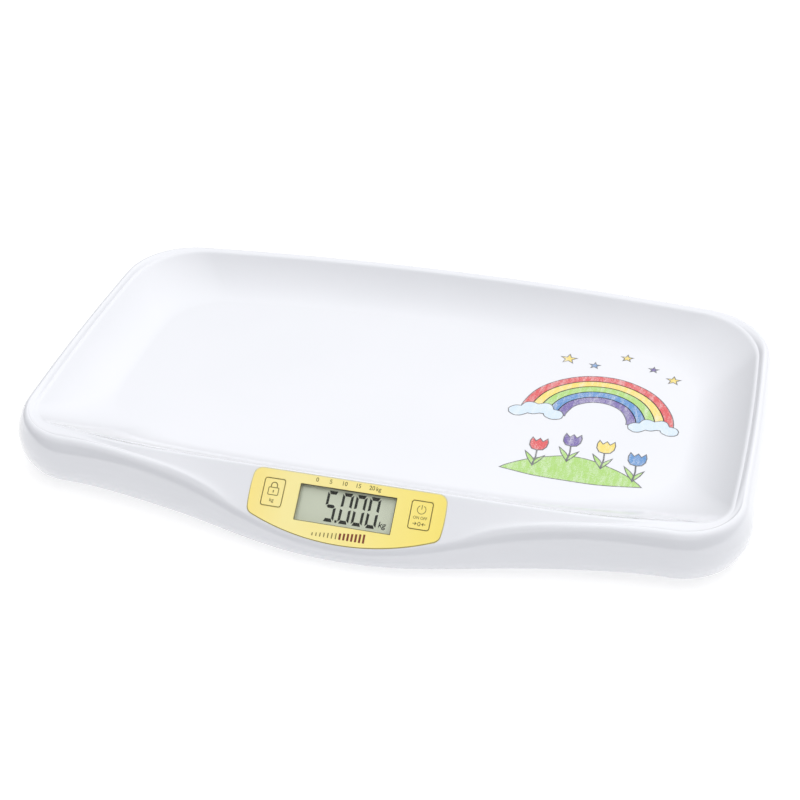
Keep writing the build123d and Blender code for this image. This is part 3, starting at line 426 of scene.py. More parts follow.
CREST_STATIONS = (0.0, 0.28, 0.5, 0.72)
RIM_HEIGHT = 43.5
RIM_END_INSET = 9.3
RIM_REAR_INSET = 7.5
RIM_HALF = HALF_LENGTH - SHOULDER_TUCK - RIM_END_INSET
RIM_REAR = HALF_DEPTH - SHOULDER_TUCK - RIM_REAR_INSET
RIM_REAR_RADIUS = 56.0
RIM_FRONT_RADIUS = 25.0
FLOOR_RADIUS = 50.0
FLOOR = 23.5
WALL_RUN = 43.0
WALL_POWER = 1.75
print("tray", 2 * HALF_LENGTH, "x", 2 * HALF_DEPTH, "mm, crest at", CREST_HEIGHT)

# %% [markdown]
# An outline has a slightly bowed rear and ends, and rounded corners. The front is a curve through a
# few stations, because it swells into the nose that carries the display. Only the right half is
# worked out, from the middle of the front to the middle of the rear, and the left half mirrors it.

# %% One ring
STRAIGHT = 0.01  # bow of a straight front, which is a very flat arc so that corners fit on it
FRONT_STEPS = 60
CORNER_STEPS = 22
END_STEPS = 26
REAR_STEPS = 34


def corner(first, first_radius, second, second_radius, radius, near):
    """Centre of the round corner between two arcs, and the points where it meets them."""
    reach, other_reach = first_radius - radius, second_radius - radius
    gap = second - first
    distance = np.hypot(*gap)
    along = (reach**2 - other_reach**2 + distance**2) / (2 * distance)
    across = sqrt(reach**2 - along**2)
    unit = gap / distance
    normal = np.array([-unit[1], unit[0]])
    options = [first + along * unit + sign * across * normal for sign in (-1, 1)]
    centre = min(options, key=lambda option: np.hypot(*(option - near)))
    meets = [
        start + (centre - start) * size / np.hypot(*(centre - start))
        for start, size in ((first, first_radius), (second, second_radius))
    ]
    return centre, meets


def arc(centre, start, end, steps):
    """Points round a centre, from after the start up to the end."""
    first = np.arctan2(*(start - centre)[::-1])
    turn = np.arctan2(*(end - centre)[::-1]) - first
    turn = (turn + pi) % (2 * pi) - pi
    angles = first + turn * np.arange(1, steps + 1) / steps
    radius = np.hypot(*(start - centre))
    return centre + radius * np.column_stack([np.cos(angles), np.sin(angles)])


def smooth_curve(stations, values, end_slope, at):
    """Cubic spline through the stations, level at the first one, with a given slope at the last."""
    count = len(stations)
    steps = np.diff(stations)
    rises = np.diff(values) / steps
    system = np.zeros((count, count))
    known = np.zeros(count)
    system[0, :2] = 2 * steps[0], steps[0]
    known[0] = rises[0]
    for row in range(1, count - 1):
        system[row, row - 1 : row + 2] = steps[row - 1], 2 * (steps[row - 1] + steps[row]), steps[row]
        known[row] = rises[row] - rises[row - 1]
    system[-1, -2:] = steps[-1], 2 * steps[-1]
    known[-1] = end_slope - rises[-1]
    bend = np.linalg.solve(system, 6 * known)
    left = np.clip(np.searchsorted(stations, at, side="right") - 1, 0, count - 2)
    width = steps[left]
    after = (at - stations[left]) / width
    before = 1 - after
    straight = before * values[left] + after * values[left + 1]
    return straight + ((before**3 - before) * bend[left] + (after**3 - after) * bend[left + 1]) * width**2 / 6


def ring(half, rear, front, rear_radius, front_radius, height, stations, bow=STRAIGHT):
    """Right half of a ring. stations holds the x, y and z that its front passes through."""
    side, shoulder = half - END_BOW, rear - REAR_BOW
    end_size = (((shoulder - front) / 2) ** 2 + END_BOW**2) / (2 * END_BOW)
    end_centre = np.array([half - end_size, (shoulder + front) / 2])
    rear_size = (side**2 + REAR_BOW**2) / (2 * REAR_BOW)
    rear_centre = np.array([0, rear - rear_size])
    front_size = (side**2 + bow**2) / (2 * bow)
    front_centre = np.array([0, front - bow + front_size])
    near = np.array([side, front])
    front_middle, front_meets = corner(front_centre, front_size, end_centre, end_size, front_radius, near)
    near = np.array([side, shoulder])
    rear_middle, rear_meets = corner(end_centre, end_size, rear_centre, rear_size, rear_radius, near)

    start = front_meets[0]
    xs, ys, zs = np.array([*stations, (start[0], start[1], height)]).T
    across = start[0] * np.arange(FRONT_STEPS + 1) / FRONT_STEPS
    end_slope = start[0] / (front_centre[1] - start[1])
    front_points = np.column_stack([across, smooth_curve(xs, ys, end_slope, across)])
    plan = np.vstack(
        [
            front_points,
            arc(front_middle, start, front_meets[1], CORNER_STEPS),
            arc(end_centre, front_meets[1], rear_meets[0], END_STEPS),
            arc(rear_middle, rear_meets[0], rear_meets[1], CORNER_STEPS),
            arc(rear_centre, rear_meets[1], np.array([0, rear]), REAR_STEPS),
        ]
    )
    heights = np.full(len(plan), height)
    heights[: FRONT_STEPS + 1] = smooth_curve(xs, zs, 0.0, across)
    return np.column_stack([plan, heights])


print("points in a ring:", 2 * (FRONT_STEPS + 2 * CORNER_STEPS + END_STEPS + REAR_STEPS))

# %% [markdown]
# The skirt leans out from its bottom edge to its belly and back in to the shoulder. In the middle it
# bulges forward in a bell curve, and there its top is cut by the sloping facet of the display.

# %% Rings of the skirt
RIDGE_SOFTNESS = 2.0


def bell(x):
    """Share of the nose's reach, 1 in the middle and falling to 0 at the sides."""
    return exp(-(abs(x / NOSE_WIDTH) ** NOSE_POWER))


def facet_height(y):
    return CREST_HEIGHT + (y + CREST_REACH) * FACET_SLOPE


def lower_of(first, second):
    """The lower of two heights, with a soft passage from one to the other."""
    return (first + second - sqrt((first - second) ** 2 + RIDGE_SOFTNESS**2)) / 2


def bowed(share, first, middle, last):
    """Value at a share of the height, on a curve through bottom, belly and shoulder."""
    even = first + (last - first) * BELLY_SHARE
    bend = (middle - even) / (BELLY_SHARE * (1 - BELLY_SHARE))
    return first + (last - first) * share + bend * share * (1 - share)


def skirt_ring(tuck, reach, side_height, nose_height):
    front = tuck - FRONT_REACH
    stations = []
    for x in NOSE_STATIONS:
        y = front - reach * bell(x)
        stations.append((x, y, nose_height(x, y)))
    return ring(
        HALF_LENGTH - tuck,
        HALF_DEPTH - tuck,
        front,
        REAR_RADIUS - tuck,
        FRONT_RADIUS - tuck,
        side_height,
        stations,
    )


def shoulder_line(x, y):
    return lower_of(SHOULDER, facet_height(y))


def outer_ring(share):
    def height(x, y):
        ridge = shoulder_line(x, SHOULDER_TUCK - FRONT_REACH - NOSE_REACH * bell(x))
        return SKIRT_BOTTOM + share * (ridge - SKIRT_BOTTOM)

    tuck = max(bowed(share, BOTTOM_TUCK, 0, SHOULDER_TUCK), BELLY_TUCK)
    reach = bowed(share, BOTTOM_REACH, BELLY_REACH, NOSE_REACH)
    return skirt_ring(tuck, reach, SKIRT_BOTTOM + share * (SHOULDER - SKIRT_BOTTOM), height)


INNER_SHARE = 0.6  # of the wall that the shoulder takes from its sides, and the rest from its front
INNER_TUCK = SHOULDER_TUCK + INNER_SHARE * WALL
INNER_REACH = NOSE_REACH - (1 - INNER_SHARE) * WALL
FACET_WALL = WALL / cos(FACET_TILT)
CAVITY_BOTTOM = SKIRT_BOTTOM - WALL / 2


def inner_ring(share):
    """A ring one wall inside the outer one."""
    top = SHOULDER - WALL

    def height(x, y):
        ridge_y = INNER_TUCK - FRONT_REACH - INNER_REACH * bell(x)
        return CAVITY_BOTTOM + share * (lower_of(top, facet_height(ridge_y) - FACET_WALL) - CAVITY_BOTTOM)

    tuck = bowed(share, BOTTOM_TUCK + WALL, WALL, INNER_TUCK)
    reach = bowed(share, BOTTOM_REACH, BELLY_REACH, INNER_REACH)
    return skirt_ring(tuck, reach, CAVITY_BOTTOM + share * (top - CAVITY_BOTTOM), height)


print("nose reaches", FRONT_REACH + BELLY_REACH, "mm forward")

# %% [markdown]
# Inside the rim, the wall of the basin falls steeply at first and then runs out level into the floor,
# so that nothing presses on the baby. The rim rises to a crest in front of the basin.


# %% Rings of the basin
def crest_top(x):
    """Height of the rim: highest behind the display, and falling to the corners."""
    start = CREST_FLAT / 2
    share = min(max((abs(x) - start) / (RIM_HALF - RIM_FRONT_RADIUS - start), 0), 1)
    return RIM_HEIGHT + (CREST_HEIGHT - RIM_HEIGHT) * cos(pi / 2 * share)


def basin_ring(run, offset=0.0, sink=0.0, crest_sink=0.0):
    """A ring of the wall, a given run inside the rim, pushed out by offset and down by sink."""
    share = run / WALL_RUN
    left = (1 - share) ** WALL_POWER
    half = RIM_HALF - run + offset
    front = run - CREST_SIDE - offset
    stations = []
    for fraction in CREST_STATIONS:
        x = fraction * half
        recede = CREST_BOW * (max(x - CREST_FLAT, 0) / (half - CREST_FLAT)) ** 2
        rise = (crest_top(x) - RIM_HEIGHT) / (CREST_HEIGHT - RIM_HEIGHT)
        height = FLOOR + (crest_top(x) - FLOOR) * left - sink - crest_sink * rise
        stations.append((x, front - CREST_BOW + recede, height))
    return ring(
        half,
        RIM_REAR - run + offset,
        front,
        RIM_REAR_RADIUS + (FLOOR_RADIUS - RIM_REAR_RADIUS) * share + offset,
        RIM_FRONT_RADIUS + (FLOOR_RADIUS - RIM_FRONT_RADIUS) * share + offset,
        FLOOR + (RIM_HEIGHT - FLOOR) * left - sink,
        stations,
        CREST_BOW,
    )


def basin_slope(run):
    steepest = (RIM_HEIGHT - FLOOR) * WALL_POWER / WALL_RUN
    return atan(steepest * (1 - run / WALL_RUN) ** (WALL_POWER - 1))


print("floor is", 2 * (RIM_HALF - WALL_RUN), "mm long")

# %% [markdown]
# Edges of a moulding are never sharp. Along the nose the shoulder is a crisp crease that catches the
# light, with a low lip beside the facia. Round the ends and the rear the rim swells up and rolls over
# softly, and at the rear the top of the wall rises with it. Each rounding is a curve between three
# rings: where it starts, the sharp edge that it replaces, and where it ends.

# %% Stack of rings
SKIRT_LEVELS = 18
BAND_LEVELS = 14
WALL_LEVELS = 30
WALL_CROWDING = 1.2  # above 1, so that the rings of the wall crowd towards the rim
ROUND_LEVELS = 8
INNER_LEVELS = 6
INNER_WALL_LEVELS = 8
# The crisp shoulder of the nose: width and drop of its rounding
CRISP_ROUND = 1.3
CRISP_DROP = 4.2
# The shoulder beside the facia, between two distances from the middle
SIDE_ROUND = 3.4
SIDE_FROM = 74.0
SIDE_FULL = 105.0
LIP_RISE = 0.9
LIP_SHARE = 0.4
# The soft rim, which starts between two depths behind the nose
SOFT_ROUND = 4.0
SOFT_DROP = 8.0
SOFT_FROM = -118.0
SOFT_FULL = -60.0
RIM_RISE = 2.2
# The rear, where the wall rises with the rim
REAR_FROM = 112.0
REAR_FULL = 160.0
CREST_ROUND = 1.6


def smooth_step(values, start, end):
    share = np.clip((values - start) / (end - start), 0, 1)
    return share * share * (3 - 2 * share)


def mixed(first, second, share):
    return first + (second - first) * share


def even_shares(levels):
    return [level / levels for level in range(levels + 1)]


def rounded(start, sharp, end):
    """Rings of a round edge, without its first and last."""
    rings = []
    for share in even_shares(ROUND_LEVELS)[1:-1]:
        left = 1 - share
        rings.append(left**2 * start + 2 * share * left * sharp + share * share * end)
    return rings


def skirt_levels(softness, sharp):
    """Rings from the bottom up to where the rounding of the shoulder starts."""
    span = sharp[:, 2:] - SKIRT_BOTTOM
    drop = mixed(CRISP_DROP, SOFT_DROP, softness)
    top = 1 - drop / span
    low, high = float(top.min()), float(top.max())
    weight = (top - low) / (high - low)
    shares = even_shares(SKIRT_LEVELS)
    return [mixed(outer_ring(share * low), outer_ring(share * high), weight) for share in shares]


def outer_rings():
    """Rings from the bottom of the skirt over the rim and down the wall to the floor."""
    sharp = outer_ring(1.0)
    softness = smooth_step(sharp[:, 1], SOFT_FROM, SOFT_FULL)[:, None]
    skirt = skirt_levels(softness, sharp)
    up = np.array([0, 0, 1.0])
    rear = smooth_step(sharp[:, 1], REAR_FROM, REAR_FULL)[:, None]
    beside_facia = smooth_step(sharp[:, 0], SIDE_FROM, SIDE_FULL)[:, None]
    rise = RIM_RISE * softness * up
    lift = RIM_RISE * rear * up
    lip = LIP_RISE * beside_facia * (1 - softness) * up
    crisp, side, soft = [
        skirt_ring(SHOULDER_TUCK + size, NOSE_REACH, SHOULDER, shoulder_line)
        for size in (CRISP_ROUND, SIDE_ROUND, SOFT_ROUND)
    ]
    rim_start = mixed(mixed(crisp, side, beside_facia), soft, softness) + rise
    rim_end = basin_ring(0, CREST_ROUND, 0, CREST_ROUND * FACET_SLOPE) + lift
    shoulder = rounded(skirt[-1], sharp + rise + lip, rim_start + lip)
    band = []
    for share in even_shares(BAND_LEVELS):
        swell = (rise - lift) * share * (1 - share)
        curl = lip * max(1 - share / LIP_SHARE, 0) ** 2
        band.append(mixed(rim_start, rim_end, share) + swell + curl)
    wall = []
    for share in even_shares(WALL_LEVELS):
        run = CREST_ROUND + (WALL_RUN - CREST_ROUND) * share**WALL_CROWDING
        wall.append(basin_ring(run) + lift * (1 - run / WALL_RUN) ** 2)
    crest = rounded(rim_end, basin_ring(0) + lift, wall[0])
    return [*skirt, *shoulder, *band, *crest, *wall]


def inner_rings():
    """Rings of the hollow below, one wall inside the outer ones, from the bottom to the floor."""
    start = (SKIRT_BOTTOM - CAVITY_BOTTOM) / (SHOULDER - WALL - CAVITY_BOTTOM)
    rings = [inner_ring(mixed(start, 1, share)) for share in even_shares(INNER_LEVELS)]
    rim_offset = WALL * tan(basin_slope(0) / 2)
    rings.append(basin_ring(0, rim_offset, WALL, FACET_WALL - WALL + rim_offset * FACET_SLOPE))
    for share in even_shares(INNER_WALL_LEVELS)[1:]:
        run = WALL_RUN * share
        slope = basin_slope(run)
        rings.append(basin_ring(run, WALL * sin(slope), WALL * cos(slope)))
    return rings


outer, inner = outer_rings(), inner_rings()
print("rings outside:", len(outer), "inside:", len(inner))

# %% [markdown]
# Rings become a closed skin: quads between neighbours, one flat face on the floor and one under it.
# Everything that is modelled here goes through the same few helpers, which take points in
# millimetres, build a mesh in metres, give it its finish and let it ride on a body of the scale.


# %% Mesh helpers
def mesh_object(name, points, faces):
    mesh = bpy.data.meshes.new(name)
    mesh.from_pydata([tuple(point) for point in np.asarray(points) * MM], [], faces)
    form = bmesh.new()
    form.from_mesh(mesh)
    bmesh.ops.recalc_face_normals(form, faces=form.faces)
    form.to_mesh(mesh)
    form.free()
    piece = bpy.data.objects.new(name, mesh)
    bpy.context.scene.collection.objects.link(piece)
    return piece


def finished(piece, finish, body="scale"):
    """Give a piece its finish, and let it ride on a body."""
    piece.data.materials.clear()
    piece.data.materials.append(finish.material)
    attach(piece, body)
    return piece


def ring_faces(first, second, count):
    """Quads between two closed rows of points, given the number of each row's first point."""
    return [
        (first + k, first + (k + 1) % count, second + (k + 1) % count, second + k) for k in range(count)
    ]


def prism(low, high):
    """Closed form between two outlines that have the same number of points."""
    count = len(low)
    faces = ring_faces(0, count, count)
    faces += [tuple(range(count)), tuple(range(count, 2 * count))]
    return np.vstack([low, high]), faces


def tube(rows):
    """Closed ribbon whose four rows are its outer and inner outlines, below and above."""
    count = len(rows[0])
    faces = []
    for k in range(4):
        faces += ring_faces(k * count, (k + 1) % 4 * count, count)
    return np.vstack(rows), faces


def together(forms):
    """Several forms as one list of points and faces."""
    points, faces, start = [], [], 0
    for form_points, form_faces in forms:
        points.append(form_points)
        faces += [tuple(start + index for index in face) for face in form_faces]
        start += len(form_points)
    return np.vstack(points), faces


def stacked(rings):
    """Closed skin over half rings, each mirrored to a whole one."""
    whole = []
    for half in rings:
        mirrored = half[-2:0:-1] * np.array([-1, 1, 1])
        whole.append(np.vstack([half, mirrored]))
    count = len(whole[0])
    faces = []
    for k in range(len(whole) - 1):
        faces += ring_faces(k * count, (k + 1) * count, count)
    last = (len(whole) - 1) * count
    faces += [tuple(range(count)), tuple(range(last, last + count))]
    return np.vstack(whole), faces


def cut(piece, tool, operation="DIFFERENCE"):
    """Cut a tool out of a piece, or join it on, and throw the tool away."""
    modifier = piece.modifiers.new("cut", "BOOLEAN")
    modifier.operation = operation
    modifier.solver = "EXACT"
    modifier.object = tool
    bpy.context.view_layer.update()
    shape = piece.evaluated_get(bpy.context.evaluated_depsgraph_get())
    result = bpy.data.meshes.new_from_object(shape)
    piece.modifiers.clear()
    piece.data = result
    bpy.data.objects.remove(tool)


print("mesh helpers ready")

# %% [markdown]
# On the facet, places are given as on a drawing of the facia: across from the middle, down from the
# crest, and in from the surface. The facia is straight along the crest and bowed along the ridge.

# %% Outlines on the facet
FACET_DOWN = np.array([0, -cos(FACET_TILT), -sin(FACET_TILT)])
FACET_IN = np.array([0, sin(FACET_TILT), -cos(FACET_TILT)])
FACET_START = np.array([0, -CREST_REACH, CREST_HEIGHT])
ARC_STEPS = 10
WINDOW = (0.0, 22.1)
WINDOW_SIZE = (70.6, 26.8)
KEY_PLACES = {"hold_key": (-53.8, 18.4), "power_key": (53.8, 18.4)}
KEY_SIZE = (15.2, 20.3)
KEY_RADIUS = 1.8
KEY_GAP = 0.3
FACIA_HALF = 70.0
FACIA_TOP = 1.5
FACIA_SIDE = 34.6
FACIA_MIDDLE = 48.7
FACIA_RADIUS = 6.5
FACIA_END_BOW = 1.2
FACIA_DEPTH = 0.8
FACIA_BOW_STEPS = 30
FACIA_END_STEPS = 12
TOOL_OVER = 3.0  # how far a cutting tool sticks out of the facet


def on_facet(outline, depth):
    """Points in space of an outline of (across, down) pairs."""
    outline = np.asarray(outline)
    across = outline[:, :1] * np.array([1, 0, 0])
    return FACET_START + across + outline[:, 1:] * FACET_DOWN + depth * FACET_IN


def quarter(centre, radius, start, turn=90.0, steps=ARC_STEPS):
    angles = np.radians(start + turn * np.arange(steps + 1) / steps)
    return np.array(centre) + radius * np.column_stack([np.cos(angles), np.sin(angles)])


def grown(size, margin):
    """A width and height with a margin all round."""
    return size[0] + 2 * margin, size[1] + 2 * margin


def round_box(centre, size, radius):
    half_width, half_height = size[0] / 2 - radius, size[1] / 2 - radius
    corners = ((1, 1, 0), (-1, 1, 90), (-1, -1, 180), (1, -1, 270))
    return np.vstack(
        [
            quarter((centre[0] + x * half_width, centre[1] + y * half_height), radius, start)
            for x, y, start in corners
        ]
    )


def facia_outline(gap):
    """Edge of the facia, pushed out by a gap: four arcs on the right, mirrored on the left."""
    half, radius = FACIA_HALF + gap, FACIA_RADIUS + gap
    top, side, middle = FACIA_TOP - gap, FACIA_SIDE + gap, FACIA_MIDDLE + gap
    bow = middle - side
    size = (half**2 + bow**2) / (2 * bow)
    centre = np.array([0, middle - size])
    end_size = (((side - top) / 2) ** 2 + FACIA_END_BOW**2) / (2 * FACIA_END_BOW)
    end_centre = np.array([half + FACIA_END_BOW - end_size, (side + top) / 2])
    low_centre, (low_end, low_start) = corner(centre, size, end_centre, end_size, radius, (half, side))
    high = top + radius
    across = end_centre[0] + sqrt((end_size - radius) ** 2 - (end_centre[1] - high) ** 2)
    high_centre = np.array([across, high])
    high_start = end_centre + (high_centre - end_centre) * end_size / (end_size - radius)
    right = np.vstack(
        [
            arc(centre, np.array([0, middle]), low_end, FACIA_BOW_STEPS),
            arc(low_centre, low_end, low_start, ARC_STEPS),
            arc(end_centre, low_start, high_start, FACIA_END_STEPS),
            arc(high_centre, high_start, np.array([across, top]), ARC_STEPS),
        ]
    )
    left = right[::-1] * np.array([-1, 1])
    return np.vstack([[(0, middle)], right, left])


def facet_prism(outline, depth, top=-TOOL_OVER):
    """Tool that cuts an outline into the facet, down to a depth."""
    return prism(on_facet(outline, depth), on_facet(outline, top))


print("facia outline points:", len(facia_outline(0)))

# %% [markdown]
# The finished tray is the skin with its ribs and screw bosses joined on below. Then tools cut the flat
# seat behind the facet, the recess for the facia, the openings for the lens and the keys, and the
# pocket for the lens. They are exact booleans, because each edge has to fit the piece that goes in.

# %% Tray
SCREWS = [(side * 90.0, y) for side in (-1, 1) for y in (95.0, -70.0)] + [(-215.0, 15.0), (215.0, 15.0)]
BOSS_RADIUS = 4.0
BOSS_BOTTOM = 12.0
PILOT_RADIUS = 1.5
PILOT_DEPTH = 8.5
PILOT_OVER = 1.0  # how far the cutting tool sticks out of the boss
RIB_WALL = 1.6
RIB_HEIGHT = 5.5
RIB_BOTTOM = FLOOR - WALL - RIB_HEIGHT
LONG_RIBS = (-40.0, 20.0, 80.0)
LONG_RIB_LENGTH = 264.0
CROSS_RIBS = (-120.0, -60.0, 0.0, 60.0, 120.0)
CROSS_RIB_LENGTH = 144.0
SEAT_SIZE = (139.0, 34.2)
SEAT_DEPTH = 0.8
RECESS_GAP = 0.15
OPENING_DEPTH = 5.2
LENS_RADIUS = 0.6
LENS_MARGIN = 1.05  # how far the opening for the lens reaches past the window
POCKET_MARGIN = 2.25
POCKET_DEPTH = 2.0
SHARP_ANGLE = radians(55)


def level_prism(outline, bottom, top):
    """Upright prism of an outline of (x, y) pairs."""
    outline = np.asarray(outline)
    rows = [np.column_stack([outline, np.full(len(outline), height)]) for height in (bottom, top)]
    return prism(*rows)


def circle(centre, radius, steps=32):
    return quarter(centre, radius, 0, 360 * (steps - 1) / steps, steps - 1)


def rectangle(centre, size):
    (x, y), (width, height) = centre, size
    return [(x + a * width / 2, y + b * height / 2) for a, b in ((-1, -1), (1, -1), (1, 1), (-1, 1))]


def add_bosses_and_ribs(skin):
    into_wall = FLOOR - WALL / 2
    bosses = [level_prism(circle(spot, BOSS_RADIUS), BOSS_BOTTOM, into_wall) for spot in SCREWS]
    cut(skin, mesh_object("bosses", *together(bosses)), "UNION")
    ribs = [rectangle((0, y), (LONG_RIB_LENGTH, RIB_WALL)) for y in LONG_RIBS]
    middle = sum(LONG_RIBS) / len(LONG_RIBS)
    ribs += [rectangle((x, middle), (RIB_WALL, CROSS_RIB_LENGTH)) for x in CROSS_RIBS]
    for outline in ribs:
        cut(skin, mesh_object("rib", *level_prism(outline, RIB_BOTTOM, into_wall)), "UNION")
    bottom, top = BOSS_BOTTOM - PILOT_OVER, BOSS_BOTTOM + PILOT_DEPTH
    pilots = [level_prism(circle(spot, PILOT_RADIUS), bottom, top) for spot in SCREWS]
    cut(skin, mesh_object("pilots", *together(pilots)))


def cut_facet(skin):
    """Seat of the display from below, then the recess, openings and pocket from above."""
    outline = rectangle(WINDOW, SEAT_SIZE)
    seat = prism(on_facet(outline, WALL + SEAT_DEPTH), on_facet(outline, WALL))
    cut(skin, mesh_object("seat", *seat))
    recess = facet_prism(facia_outline(RECESS_GAP), FACIA_DEPTH)
    cut(skin, mesh_object("recess", *recess))
    outlines = [round_box(WINDOW, grown(WINDOW_SIZE, LENS_MARGIN), LENS_RADIUS)]
    for place in KEY_PLACES.values():
        outlines.append(round_box(place, grown(KEY_SIZE, KEY_GAP), KEY_RADIUS + KEY_GAP))
    openings = [facet_prism(outline, OPENING_DEPTH, 0) for outline in outlines]
    cut(skin, mesh_object("openings", *together(openings)))
    outline = round_box(WINDOW, grown(WINDOW_SIZE, POCKET_MARGIN), LENS_RADIUS)
    cut(skin, mesh_object("pocket", *facet_prism(outline, POCKET_DEPTH, 0)))


def make_tray():
    skin = mesh_object("tray_body", *stacked([*inner[::-1], *outer]))
    add_bosses_and_ribs(skin)
    cut_facet(skin)
    skin.data.shade_smooth()
    skin.data.set_sharp_from_angle(angle=SHARP_ANGLE)
    finished(skin, finishes["body_white"])
    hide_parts("tray_shell")
    print("tray faces:", len(skin.data.polygons))


make_tray()

# %% [markdown]
# Printing on the facia and the keys is screen ink, a few hundredths of a millimetre proud. An olive
# line follows the edge of the facia, and a thin dark mask on the lens hides the edge of the window.
# The mask is darker along the top and the right of the window: a painted shadow of its edge.
# Ink is matt and slightly uneven.


# %% Inks
def matt(finish, roughness):
    """Ink's dull surface, slightly uneven."""
    finish.rough(finish.noise(400.0) * 0.1 + roughness)
    return finish.bumps(finish.noise(3000.0), INK_GRAIN)


def ink(name, code, roughness=0.5):
    finish = Finish(name)
    dark = tuple(part * 0.8 for part in rgb(code)[:3]) + (1,)
    finish.color(finish.blend(finish.noise(900.0), rgb(code), dark))
    return matt(finish, roughness)


def edge_line_ink(name):
    """Dark along the bottom of the facia, and thinning out to a pale tint along the crest."""
    finish = Finish(name)
    low, high = 0.02, 0.05
    share = (finish.along("Z") - low) * (1 / (high - low))
    tone = finish.ramp(
        share, (0.0, rgb("85753a")), (0.3, rgb("a39550")), (0.6, rgb("cfc57c")), (0.95, rgb("efe8b4"))
    )
    finish.color(finish.blend(finish.noise(900.0) * 0.2, tone, rgb("8d8040")))
    return matt(finish, 0.45)


def window_mask_ink(name):
    """Printed mask with a painted shadow: darker along the top and the right of the window than along its
    bottom and left.
    """
    finish = Finish(name)
    middle = 0.0371
    # Painted shadow: the ink darkens towards the right and the top of the window
    share = finish.along("X") * 14.2 + (finish.along("Z") - middle) * 61.0 + 0.5
    tone = finish.ramp(share, (0.0, rgb("8a876a")), (1.0, rgb("2b2b25")))
    finish.color(finish.blend(finish.noise(900.0) * 0.2, tone, rgb("4a493c")))
    return matt(finish, 0.4)


olive_ink = ink("olive_ink", "7d7434")
rust_ink = ink("rust_ink", "82351c")
# Mask round the window, carrying a painted shadow along its top and right
mask_and_painted_shadow_ink = window_mask_ink("mask_and_painted_shadow_ink")
edge_ink = edge_line_ink("edge_ink")
segment_ink = ink("segment_ink", "262823", 0.35)
# How deep the top and the foot of the ink lie below the surface that it is printed on
INK_TOP = -0.03
INK_FOOT = 0.02
EDGE_LINE = (-0.05, -0.5)
MASK_INSETS = (0.02, 0.65)
MASK_RADII = (0.6, 0.3)


def ink_band(outline, inner_outline, top=INK_TOP, foot=INK_FOOT):
    """Printed band between two outlines."""
    return tube(
        [
            on_facet(outline, foot),
            on_facet(outline, top),
            on_facet(inner_outline, top),
            on_facet(inner_outline, foot),
        ]
    )


def ink_shape(outline, top=INK_TOP, foot=INK_FOOT):
    return prism(on_facet(outline, foot), on_facet(outline, top))


def print_on(name, forms, finish, body="scale"):
    piece = mesh_object(name, *together(forms))
    return finished(piece, finish, body)


def print_lines():
    edge = [facia_outline(gap) for gap in EDGE_LINE]
    print_on("facia_edge_line", [ink_band(*edge)], edge_ink)
    # The mask's ink also carries a painted shadow along the window's top and right
    mask = [
        round_box(WINDOW, grown(WINDOW_SIZE, -inset), radius)
        for inset, radius in zip(MASK_INSETS, MASK_RADII)
    ]
    lens_front = [ink_band(*mask, FACIA_DEPTH + INK_TOP, FACIA_DEPTH + INK_FOOT)]
    print_on("window_mask_and_shadow_line", lens_front, mask_and_painted_shadow_ink)
    print("edge line and window mask printed")


print_lines()

# %% [markdown]
# Signs on the keys are drawn in even strokes, as a silk-screen artist would: an open circle with a bar
# is the common sign for on and off, arrows that point at a nought set the scale to zero, and a padlock
# holds the reading. A thin frame marks each key. Points of a sign are millimetres from its middle.

# %% Strokes and signs
STROKE = 0.5
FRAME_LINE = 0.45
POWER_RADIUS = 3.0
POWER_OPENING = 56.0  # degrees of the circle that stay open at its top
NOUGHT_SIZE = (0.85, 1.3)
PADLOCK_SIZE = (7.4, 5.4)
SHACKLE_RADIUS = 2.2
# How far each sign lies below the middle of its key
PADLOCK_DROP = -2.6
POWER_DROP = -4.0
ZERO_DROP = 6.2


def stroke(points, width=STROKE, closed=False):
    """Outline of a line of constant width, with square ends."""
    points = np.asarray(points, float)
    ahead = np.roll(points, -1, axis=0) - points
    behind = points - np.roll(points, 1, axis=0)
    if not closed:
        ahead[-1] = behind[-1]
        behind[0] = ahead[0]
    ahead /= np.hypot(ahead[:, 0], ahead[:, 1])[:, None]
    behind /= np.hypot(behind[:, 0], behind[:, 1])[:, None]
    middle = ahead + behind
    middle /= (np.hypot(middle[:, 0], middle[:, 1]) ** 2 / 2)[:, None]
    side = np.column_stack([-middle[:, 1], middle[:, 0]]) * width / 2
    return points + side, points - side


def stroke_form(points, width=STROKE, closed=False):
    left, right = stroke(points, width, closed)
    if closed:
        return ink_band(left, right)
    return ink_shape(np.vstack([left, right[::-1]]))


def moved(points, place):
    return np.asarray(points) + np.array(place)


def power_sign(place):
    ring_line = quarter((0, 0), POWER_RADIUS, POWER_OPENING / 2 - 90, 360 - POWER_OPENING, 36)
    bar = [(0, -3.4), (0, -0.2)]
    return [stroke_form(moved(ring_line, place)), stroke_form(moved(bar, place))]


def zero_sign(place):
    nought = circle((0, 0), 1.0, 24) * np.array(NOUGHT_SIZE)
    forms = [stroke_form(moved(nought, place), closed=True)]
    for side in (-1, 1):
        shaft = [(side * 4.6, 0), (side * 2.1, 0)]
        head = [(side * 3.1, -1.0), (side * 2.0, 0), (side * 3.1, 1.0)]
        forms += [stroke_form(moved(shaft, place)), stroke_form(moved(head, place))]
    return forms


def padlock_sign(place):
    body = round_box((0, 1.9), PADLOCK_SIZE, 0.7)
    bend = quarter((0, -2.4), SHACKLE_RADIUS, 0, -180, 16)
    shackle = np.vstack([[(SHACKLE_RADIUS, -0.8)], bend, [(-SHACKLE_RADIUS, -0.8)]])
    keyhole = [(0, 1.0), (0, 2.9)]
    return [
        stroke_form(moved(body, place), 0.6, closed=True),
        stroke_form(moved(shackle, place), 0.7),
        stroke_form(moved(keyhole, place), 0.8),
    ]


def key_frame(place):
    outside = round_box(place, KEY_SIZE, KEY_RADIUS)
    inside = round_box(place, grown(KEY_SIZE, -FRAME_LINE), KEY_RADIUS - FRAME_LINE)
    return [ink_band(outside, inside)]


